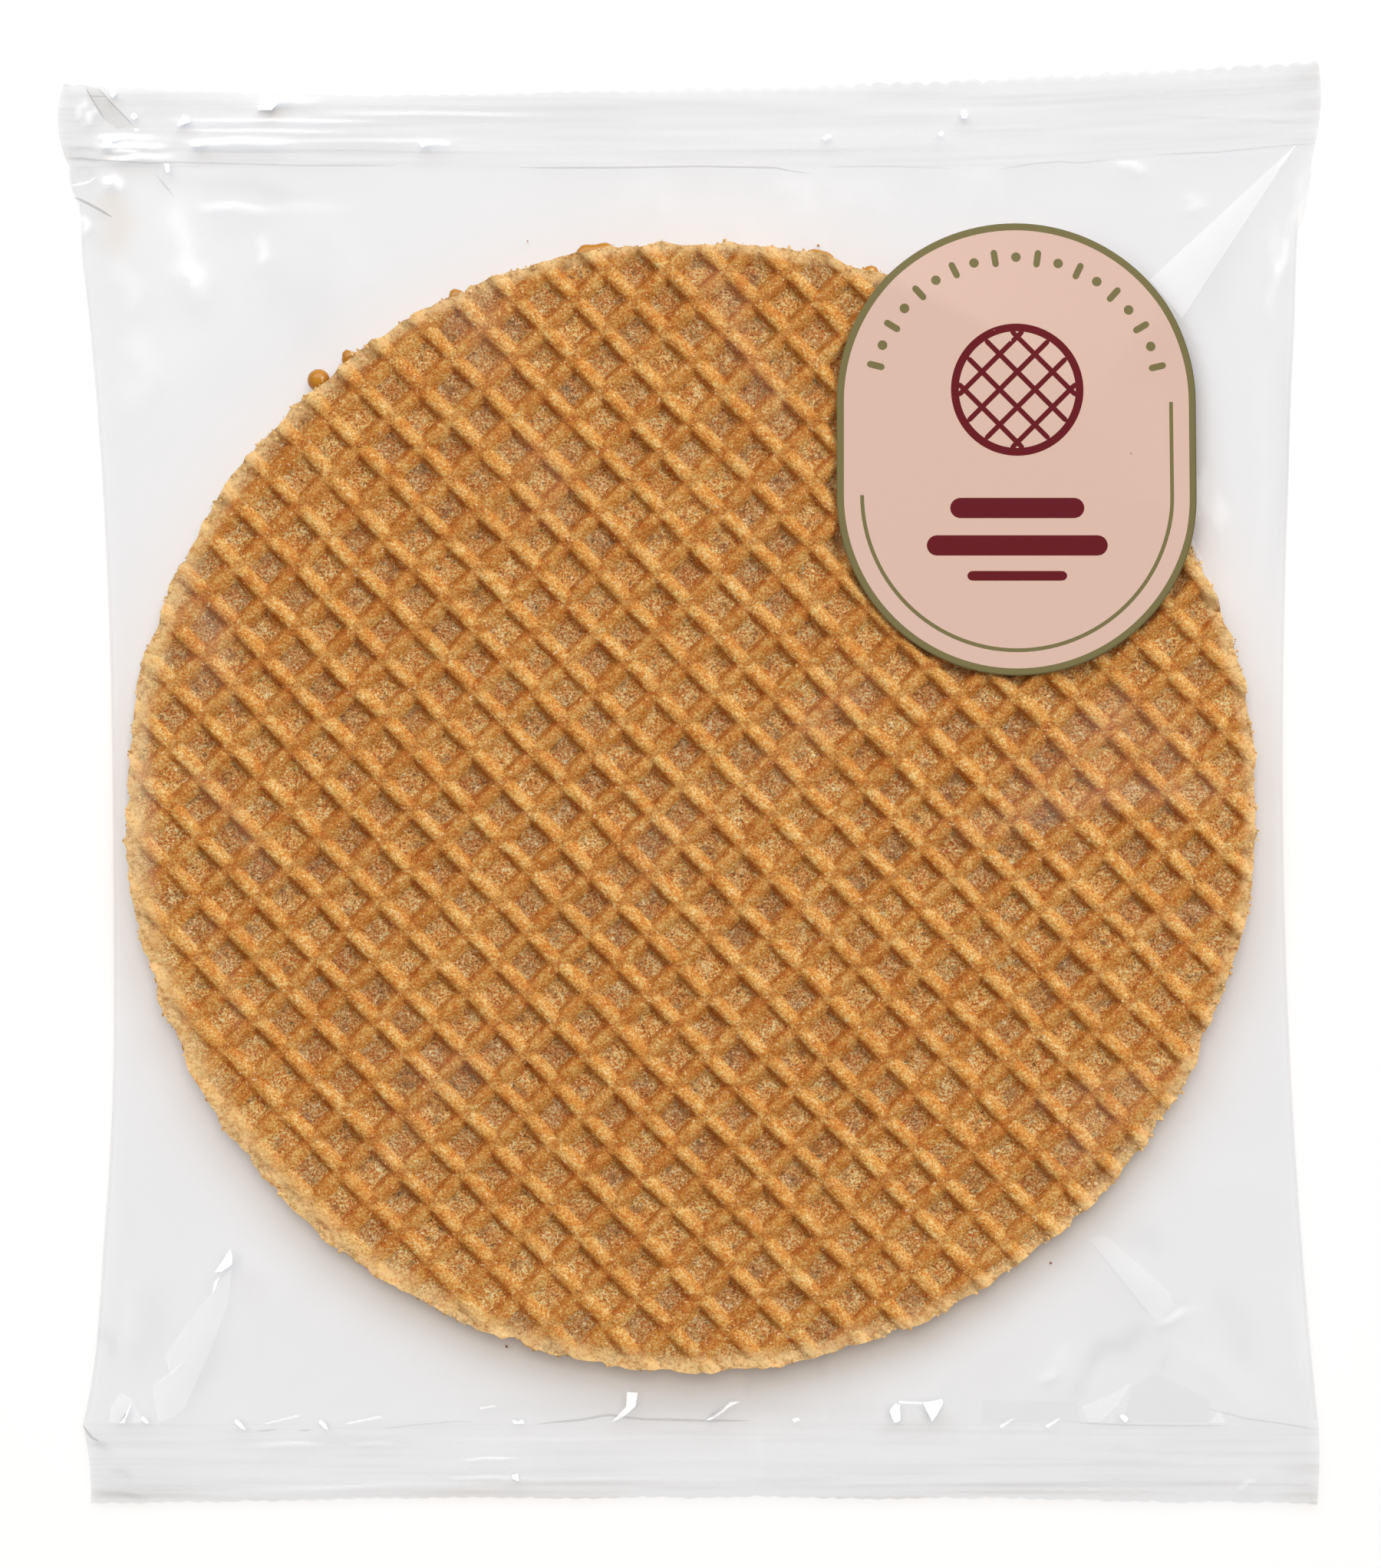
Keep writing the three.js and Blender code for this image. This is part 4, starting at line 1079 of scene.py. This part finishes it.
def makeRibbons(name, ribbons, thickness, material):
    # narrow closed strips along lines: points along the line, half width, height above the film
    # or fold, taper to the ends, and a grey share of painted shade, or below 0 a milky share of painted highlight
    bodies = []
    for line, halfWidth, lift, height, taper, tone in ribbons:
        line = np.asarray(line, dtype=float)
        steps = np.concatenate([[0], np.cumsum(np.hypot(*np.diff(line, axis=0).T))])
        n = max(4, int(steps[-1] / 0.8))
        at = np.linspace(0, steps[-1], n)
        x, y = np.interp(at, steps, line[:, 0]), np.interp(at, steps, line[:, 1])
        dx, dy = np.gradient(x), np.gradient(y)
        fromEnd = np.minimum(at, steps[-1] - at) / steps[-1]
        half = halfWidth * np.minimum(1, 1 - taper + 6 * fromEnd) / np.hypot(dx, dy)
        top = height(x, y) + lift
        rings = [(x - dy * way * half, y + dx * way * half, z)
                 for way, z in ((1, top), (-1, top), (-1, top - thickness), (1, top - thickness))]
        points = np.stack([stacked(*ring) for ring in rings], 1).reshape(-1, 3)
        start, end = np.arange(4)[None], 4 * (n - 1) + np.arange(4)[None, ::-1]
        faces = [gridFaces(n, 4, closed=True)[:, [0, 3, 2, 1]], start, end]
        bodies.append((points, faces, np.tile((max(0, -tone), max(0, tone), 0), (4 * n, 1))))
    points, faces, tones = gathered(bodies)
    piece = makePiece(name, points, faces, [material], tones, creased=40)


def filmCreases():
    # the two side folds, the creases along the seals and the folds of the corners: points along
    # each, half width, height above the film, what it lies on, taper and tone: a grey share of painted
    # shade along the crease, or below 0 a milky share of painted highlight
    sideY = np.linspace(pouch["lowerSealY"] + 0.5, pouch["upperSealY"] - 0.5, 60)
    fold = lambda x, y: np.full(x.shape, pouch["foldHeight"])
    return [
        (np.column_stack([sideX(pouch["left"], sideY) + 0.28, sideY]), 0.2, 0.06, fold, 0, 0.02),
        (np.column_stack([sideX(pouch["right"], sideY) - 0.28, sideY]), 0.2, 0.06, fold, 0, 0.02),
        ([(-22.3, 79.6), (-10, 79.6), (1, 79.8), (11, 79.6), (13, 79.2), (16, 78.8)],
         0.13, 0.12, filmTop, 0.85, 0.12),
        ([(17, 79.7), (25, 79.8), (34, 79.5)], 0.1, 0.12, filmTop, 0.85, 0.05),
        ([(40, 79.4), (45, 80.2), (48, 80.4), (50, 80.2), (55, 80.7)], 0.11, 0.12, filmTop, 0.85, 0.06),
        ([(60, 81.3), (68, 81.6), (76, 82.4), (81.4, 82.8)], 0.1, 0.12, filmTop, 0.85, 0.06),
        ([(-80.2, 80.9), (-78, 80.7), (-70, 80.2), (-66, 80.3), (-50, 79.9), (-38, 79.9)],
         0.12, 0.12, filmTop, 0.85, 0.09),
        ([(-79.5, 75.8), (-77, 74.6), (-74.6, 73.2)], 0.18, 0.12, filmTop, 0.8, 0.18),
        ([(-69, 78.8), (-66.6, 75.9)], 0.14, 0.12, filmTop, 0.85, 0.08),
        ([(-78.2, 90.3), (-77.6, 89), (-75.6, 85.9)], 0.1, 0.2, filmTop, 0.8, 0.16),
        ([(-76.6, 90.1), (-74.9, 88.2), (-71.8, 85)], 0.1, 0.2, filmTop, 0.8, 0.16),
        ([(-77.7, 89), (-75.4, 88.9)], 0.08, 0.2, filmTop, 0.6, 0.12),
        ([(-80, 77.3), (-77.8, 77.6), (-76.6, 78.4)], 0.12, 0.12, filmTop, 0.8, -0.3),
        ([(-56, -83.6), (-53.4, -83.4)], 0.1, 0.14, filmTop, 0.85, 0.10),
        ([(-50.6, -83.5), (-48.8, -83.5)], 0.1, 0.14, filmTop, 0.85, 0.10),
        ([(-40, -83.4), (-36.6, -82.9), (-30, -82.3), (-28, -82.5)], 0.1, 0.14, filmTop, 0.85, 0.05),
        ([(-20, -82.7), (-14, -82.1), (-10.5, -81.4), (-6, -82), (2, -82.2), (8, -82.2)],
         0.16, 0.14, filmTop, 0.85, 0.12),
        ([(49.5, -82.5), (56, -82.8), (64, -82.9), (69.3, -82.9)], 0.11, 0.14, filmTop, 0.85, 0.08),
        ([(67, -80.7), (72, -82), (77, -82.7), (81.2, -83.4)], 0.12, 0.14, filmTop, 0.7, 0.06),
        ([(-78.3, -82.9), (-77.4, -84.4), (-76.4, -84.9)], 0.16, 0.14, filmTop, 0.6, 0.16),
        # the straight edge of the fold at the lower right
        ([(51, -58.3), (55.5, -63.8), (60, -69.4)], 0.1, 0.1, filmTop, 0.8, 0.02),
    ]


def makePleatsAndGlints(name, pleats, material):
    # flat closed plates just clear of the film where it is folded over or catches the light; each
    # has corners and a milky share of painted sheen and glints, and some a grey share of painted shade and a
    # stained one
    bodies = []
    for corners, milkyAndSheen, *others in pleats:
        flat = np.array(corners, dtype=float)
        n = len(flat)
        z = filmTop(flat[:, 0], flat[:, 1])
        for a in np.linspace(0.2, 0.8, 4):
            inner = flat * a + np.roll(flat, -1, 0) * (1 - a)
            lift = filmTop(inner[:, 0], inner[:, 1]) - (z * a + np.roll(z, -1) * (1 - a))
            z = z + max(0.0, float(lift.max()))
        outline = np.vstack([np.column_stack([flat, z]), (*flat.mean(0), z.mean())])
        points = np.vstack([outline + (0, 0, film["pleatLift"]), outline + (0, 0, film["pleatLift"] / 2)])
        k = np.arange(n)
        top = fanFaces(n, k)
        side = np.column_stack([n + 1 + k, n + 1 + (k + 1) % n, (k + 1) % n, k])
        turned = np.sum(flat[:, 0] * np.roll(flat[:, 1], -1) - np.roll(flat[:, 0], -1) * flat[:, 1]) < 0
        faces = [group[:, ::-1] if turned else group for group in (top, top[:, ::-1] + n + 1, side)]
        bodies.append((points, faces, np.tile((milkyAndSheen, *(others or (0, 0))), (2 * n + 2, 1))))
    points, faces, tones = gathered(bodies)
    piece = makePiece(name, points, faces, [material], tones, creased=20)


def pleatAndGlintPlates():
    # white and soft are the milky shares of painted glints and painted soft highlights; the third gives a grey
    # share of painted shade
    white, soft, shadedFacet = 0.75, 0.22, (0, 0.012, 0)
    return [
        # the pleat at the upper right corner, painted with a sheen that is brighter at its tip
        ([(78.4, 82.7), (68.85, 73.85), (59.3, 65), (63.4, 60), (70.9, 71.35)], 0.042),
        ([(78.4, 82.7), (76.6, 80.9), (75.6, 79.3), (76.9, 80.5)], 0.1),
        # the ribbon and the facet at the lower left with painted sheen, and painted glints
        ([(-58.9, -62), (-61.5, -65.5), (-63.3, -67.5), (-67.8, -73.8), (-67, -76.5), (-69.4, -77.8), (-68.9, -81),
          (-68.6, -82.4), (-66.6, -81.8), (-65.2, -80.5), (-62, -73.5), (-59.5, -67)], 0.036),
        ([(-74.8, -80.5), (-73.5, -78.7), (-72.3, -79.2), (-71, -81.5), (-70.8, -82.5), (-74.9, -82.5)], 0.035),
        ([(-59.1, -59.9), (-61.1, -62.8), (-60.2, -62.7), (-58.9, -61.8), (-58.8, -60.8)], white),
        ([(-60.5, -63.4), (-61.2, -64.1), (-61.5, -65.6), (-61.1, -65)], soft),
        ([(-72.1, -79.9), (-73, -81.5), (-73.7, -82.5), (-73, -82.5), (-72.5, -81.2)], white),
        ([(-70.7, -81.7), (-70.9, -82.1), (-70.2, -82.6), (-69.9, -82.5), (-70.2, -82)], white),
        ([(-58.6, -82), (-58.8, -82.4), (-57.9, -83.3), (-57.4, -83.4), (-57.8, -82.7)], white),
        ([(-47.7, -82.1), (-47.9, -82.5), (-47.2, -83.3), (-46.7, -83.4), (-47, -82.7)], white),
        ([(-55, -82.6), (-50.6, -81.4), (-50.2, -81.6), (-54.6, -82.7)], 0.12),
        ([(-44.6, -82.6), (-40, -81.5), (-39.6, -81.8), (-44, -82.7)], 0.12),
        # the big and small glints above the lower seal
        ([(30, -79.7), (31.3, -82.3), (31.8, -81.6), (32.7, -79.9), (32.5, -79.3), (31.2, -79.6)], white),
        ([(25.8, -80.8), (26.1, -81.9), (26.5, -82.5), (27.2, -82.2), (27.1, -80.1), (26.5, -79.9)], 0.65),
        ([(27, -79.6), (27, -79.9), (30, -80), (30, -79.7)], soft),
        ([(-8.1, -78.3), (-8.2, -80.3), (-10.1, -82.4), (-8.6, -81.7), (-7, -80.2), (-6.7, -78.4)], 0.35),
        ([(2, -82.1), (3, -80.9), (5.2, -79.7), (6.5, -79.6), (5.4, -80.2), (3.9, -81.3), (2.7, -82.1)], 0.35),
        ([(-22.9, -82.2), (-22.7, -82.6), (-21.4, -82.6), (-21.6, -82.1), (-22.2, -82.4)], 0.5),
        ([(-27.2, -80.5), (-27, -80.8), (-25, -80.4), (-25.2, -80.2)], soft),
        ([(13.2, -82), (13.5, -82.5), (14.3, -82.1), (13.9, -81.8)], soft),
        ([(40, -82.9), (40.3, -83.2), (41.9, -82), (41.6, -81.9)], 0.16),
        ([(45.9, -82.9), (46.2, -83.2), (47.9, -82), (47.6, -81.9)], 0.2),
        ([(55.5, -81.5), (55.8, -82), (56.3, -82.5), (56.7, -82), (56, -81.4)], white),
        ([(67.2, -82.5), (69.2, -82.5), (68.4, -80.8)], 0.04),
        # flat facets at the lower right, some painted lighter with sheen and two darker with shade
        ([(50.6, -80.3), (51.5, -82.4), (53, -82.4), (55.5, -80), (57, -77.3), (54, -79)], 0.035),
        ([(51.2, -58.3), (53.5, -58), (61.5, -65.2), (62.6, -67.2), (60.1, -69.2)], 0.022),
        ([(57, -78), (56, -82.4), (67, -82.4), (67.3, -79.5), (60, -76)], *shadedFacet),
        ([(37.8, -79.5), (37.8, -82.5), (50.5, -82.5), (49.9, -79.8)], *shadedFacet),
        # glints and the folded strip on the upper seal
        ([(-55.9, 87.2), (-55.3, 88.9), (-51.2, 88.9), (-53.4, 88), (-54.1, 87.2)], 0.7),
        ([(-66.3, 85), (-65.6, 86.6), (-64.7, 86.2), (-64.6, 85.6), (-65.6, 85.3)], 0.7),
        ([(-64.6, 82.5), (-64.1, 83.3), (-61.8, 83.4), (-62.8, 82.6), (-63.6, 82.4)], 0.7),
        ([(-76, 82.2), (-75.7, 84), (-74.2, 84.1), (-73.9, 83.2), (-74.9, 82.9), (-74.5, 82.3)], 0.7),
        ([(-75.1, 89.9), (-75, 89.1), (-74.6, 88.8), (-74.2, 89.3), (-74.3, 89.9)], 0.6),
        ([(-72.3, 86.2), (-71.9, 85.9), (-71.4, 86.3), (-71.7, 86.8), (-72.2, 86.7)], 0.6),
        ([(-71.9, 84.7), (-71.6, 84.3), (-71.1, 84.5), (-71.4, 84.8)], 0.5),
        ([(-67.9, 80.2), (-67.6, 79), (-67.2, 79.1), (-67.3, 80.1)], 0.6),
        ([(-75.6, 78.1), (-75, 77.3), (-74.5, 77.6), (-74.8, 78.2), (-75.2, 78.4)], 0.5),
        ([(-34.9, 82.9), (-34.6, 82.3), (-33.8, 82.6), (-33, 83), (-34.2, 83.2)], 0.6),
        ([(17.1, 83.5), (17.5, 83.2), (18.4, 83.7), (18.1, 84), (17.6, 83.9)], 0.5),
        ([(32.1, 84.1), (32.5, 83.7), (32.9, 84.1), (32.6, 84.5)], 0.4),
        ([(35, 86.8), (35.2, 86.1), (35.8, 86.1), (36, 86.7), (35.5, 87.3)], 0.55),
        ([(-22.9, -89.9), (-23, -89.4), (-22.2, -89.2), (-22.1, -90.2)], 0.6),
        ([(-78.2, 90.2), (-77.6, 89), (-75.5, 85.8), (-74, 84.6), (-72.2, 85.2), (-76.6, 90)], 0, 0.03, 0.02),
    ]


makePleatsAndGlints("filmPleats", pleatAndGlintPlates(), creasedMaterial)
makeRibbons("filmCreases", filmCreases(), 0.02, creasedMaterial)
print("film:", len(pouchFilm.data.polygons), "faces")

# ---------- the sticker

def capsuleRing(inset):
    # points of the sticker's outline, moved in by inset: two half circles and two straights
    a = np.linspace(0, math.pi, sticker["steps"] + 1)
    r = max(sticker["radius"] - inset, 0.0)
    half = sticker["straight"] / 2
    upperHalf = np.column_stack([r * np.cos(a), r * np.sin(a) + half])
    lowerHalf = np.column_stack([r * np.cos(a + math.pi), r * np.sin(a + math.pi) - half])
    return np.vstack([upperHalf, lowerHalf]) + sticker["centre"]


def stickerSeat(x, y):
    # the film under the sticker, eased where it bends at the waffle's rim
    return filmBase(x, y) + sticker["above"]


def printedPaper(name, hexCode):
    # satin label paper with a flat print: an even colour, faint fibres, hardly any gloss
    material, tree, shader = newMaterial(name, Roughness=0.8, Specular_IOR_Level=0.05)
    place = addNode(tree, "ShaderNodeTexCoord").outputs["Object"]
    fibre = addNode(tree, "ShaderNodeTexNoise", Vector=place, Scale=1 / (0.5 * mm), Detail=2.0).outputs["Fac"]
    darker, lighter = (tuple(np.clip(np.array(linearColour(hexCode)) * k, 0, 1)) for k in (0.985, 1.015))
    setInputs(tree, shader, Base_Color=mixColours(tree, fibre, darker, lighter))
    return material


def makeSticker(paper, border):
    # rings of the outline, each further in, as one sheet over the film with a rim and an underside
    insets = [0, 0.3, 0.6, sticker["border"], 1.9, *sticker["keyInset"], *np.arange(4.3, 23, 0.85)]
    insets.append(sticker["radius"])
    rings = [capsuleRing(inset) for inset in insets]
    n = len(rings[0])
    flat = np.vstack(rings)
    seat = stickerSeat(flat[:, 0], flat[:, 1])
    middle = (*sticker["centre"], stickerSeat(*np.array(sticker["centre"])[:, None])[0])
    top, under = np.column_stack([flat, seat + sticker["thickness"]]), np.column_stack([rings[0], seat[:n]])
    faces = gridFaces(len(rings), n, closed=True)
    loop, count = np.arange(n), len(flat)
    side = np.column_stack([count + loop, count + np.roll(loop, -1), np.roll(loop, -1), loop])
    bottom = fanFaces(count + n, count + loop[::-1])
    # the border's rings and the key line are olive
    ringOf = np.repeat(np.arange(len(rings) - 1), n)
    keyLine = (ringOf == 5) & (flat[faces[:, 0], 1] < sticker["keyTopY"])
    olive = np.concatenate([(ringOf < 3) | keyLine, np.ones(n), np.zeros(n)])
    points = np.vstack([top, under, middle])
    piece = makePiece("stickerPaper", points, [faces, side, bottom], [paper, border], faceMaterial=olive)
    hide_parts("label")


def printShape(grids, name, material):
    # thin closed plates of ink on the paper, one for each grid of x and y
    bodies = []
    for x, y, lift in grids:
        z = stickerSeat(x, y) + sticker["thickness"] + lift
        points = np.vstack([stacked(x, y, z), stacked(x, y, z - sticker["ink"])])
        turned = np.sum((x[:-1, 1:] - x[:-1, :-1]) * (y[1:, :-1] - y[:-1, :-1])
                        - (x[1:, :-1] - x[:-1, :-1]) * (y[:-1, 1:] - y[:-1, :-1])) < 0
        bodies.append((points, plateFaces(*x.shape, turned)))
    piece = makePiece(name, *gathered(bodies), [material], creased=40)


def barGrid(x, y, halfLong, halfWide, turn=0.0, lift=0.03):
    # a bar with round ends: its half width follows a circle over the last stretch
    u, v = np.meshgrid(np.linspace(-1, 1, max(9, int(halfLong * 3))), np.linspace(-1, 1, 5))
    u = np.sin(u * math.pi / 2)
    past = np.clip((np.abs(u) * halfLong - (halfLong - halfWide)) / halfWide, 0, 0.999)
    across = v * halfWide * np.sqrt(1 - past ** 2)
    c, s = math.cos(math.radians(turn)), math.sin(math.radians(turn))
    return x + u * halfLong * c - across * s, y + u * halfLong * s + across * c, lift


def ringGrid(x, y, inner, outer, lift=0.03):
    a, r = np.meshgrid(np.radians(np.linspace(0, 360, 97)), np.linspace(inner, outer, 3))
    return x + r * np.cos(a), y + r * np.sin(a), lift


def stickerPrint():
    # a drawing of a round waffle, an arc of dots above it and three plain bars below
    x, y = sticker["centre"][0], sticker["motifY"]
    inner, outer = sticker["motifRing"]
    motif = [ringGrid(x, y, inner, outer)]
    for offset in (-4.8, -1.6, 1.6, 4.8):
        half = math.sqrt((inner + 0.4) ** 2 - offset ** 2) - 0.35
        for side, lift in ((1, 0.034), (-1, 0.038)):
            spot = x + offset * math.sqrt(0.5), y - side * offset * math.sqrt(0.5)
            motif.append(barGrid(*spot, half, 0.32, side * 45, lift))
    motif += [barGrid(x, *bar) for bar in sticker["bars"]]
    arc = []
    capY = sticker["centre"][1] + sticker["straight"] / 2
    for k, a in enumerate(np.linspace(14, 166, 19)):
        spot = math.radians(a)
        size, away = sticker["dots"][k % 2], sticker["arcRadius"]
        arc.append(barGrid(x + away * math.cos(spot), capY + away * math.sin(spot), *size, a))
    return motif, arc


olivePaper = printedPaper("satin paper, olive", sticker["olive"])
makeSticker(printedPaper("satin paper, pink", sticker["pink"]), olivePaper)
motif, arc = stickerPrint()
printShape(motif, "stickerMotif", printedPaper("satin paper, burgundy", sticker["burgundy"]))
printShape(arc, "stickerArc", olivePaper)
print("sticker")

# ---------- what each softbox lights

receivers = {
    "food": ("wafer", "crumbs", "syrup"),
    "film": ("bagFilm", "seal", "film"),
    "pleats": ("filmPleats",),
    "floor": ("floor", "sticker"),
}
groups = {name: bpy.data.collections.new(name + "Only") for name in receivers}
for name, starts in receivers.items():
    for piece in bpy.context.scene.objects:
        if piece.type == "MESH" and piece.name.startswith(starts):
            groups[name].objects.link(piece)
for name, lamp in lamps.items():
    lamp.light_linking.receiver_collection = groups[softboxes[name][-1]]
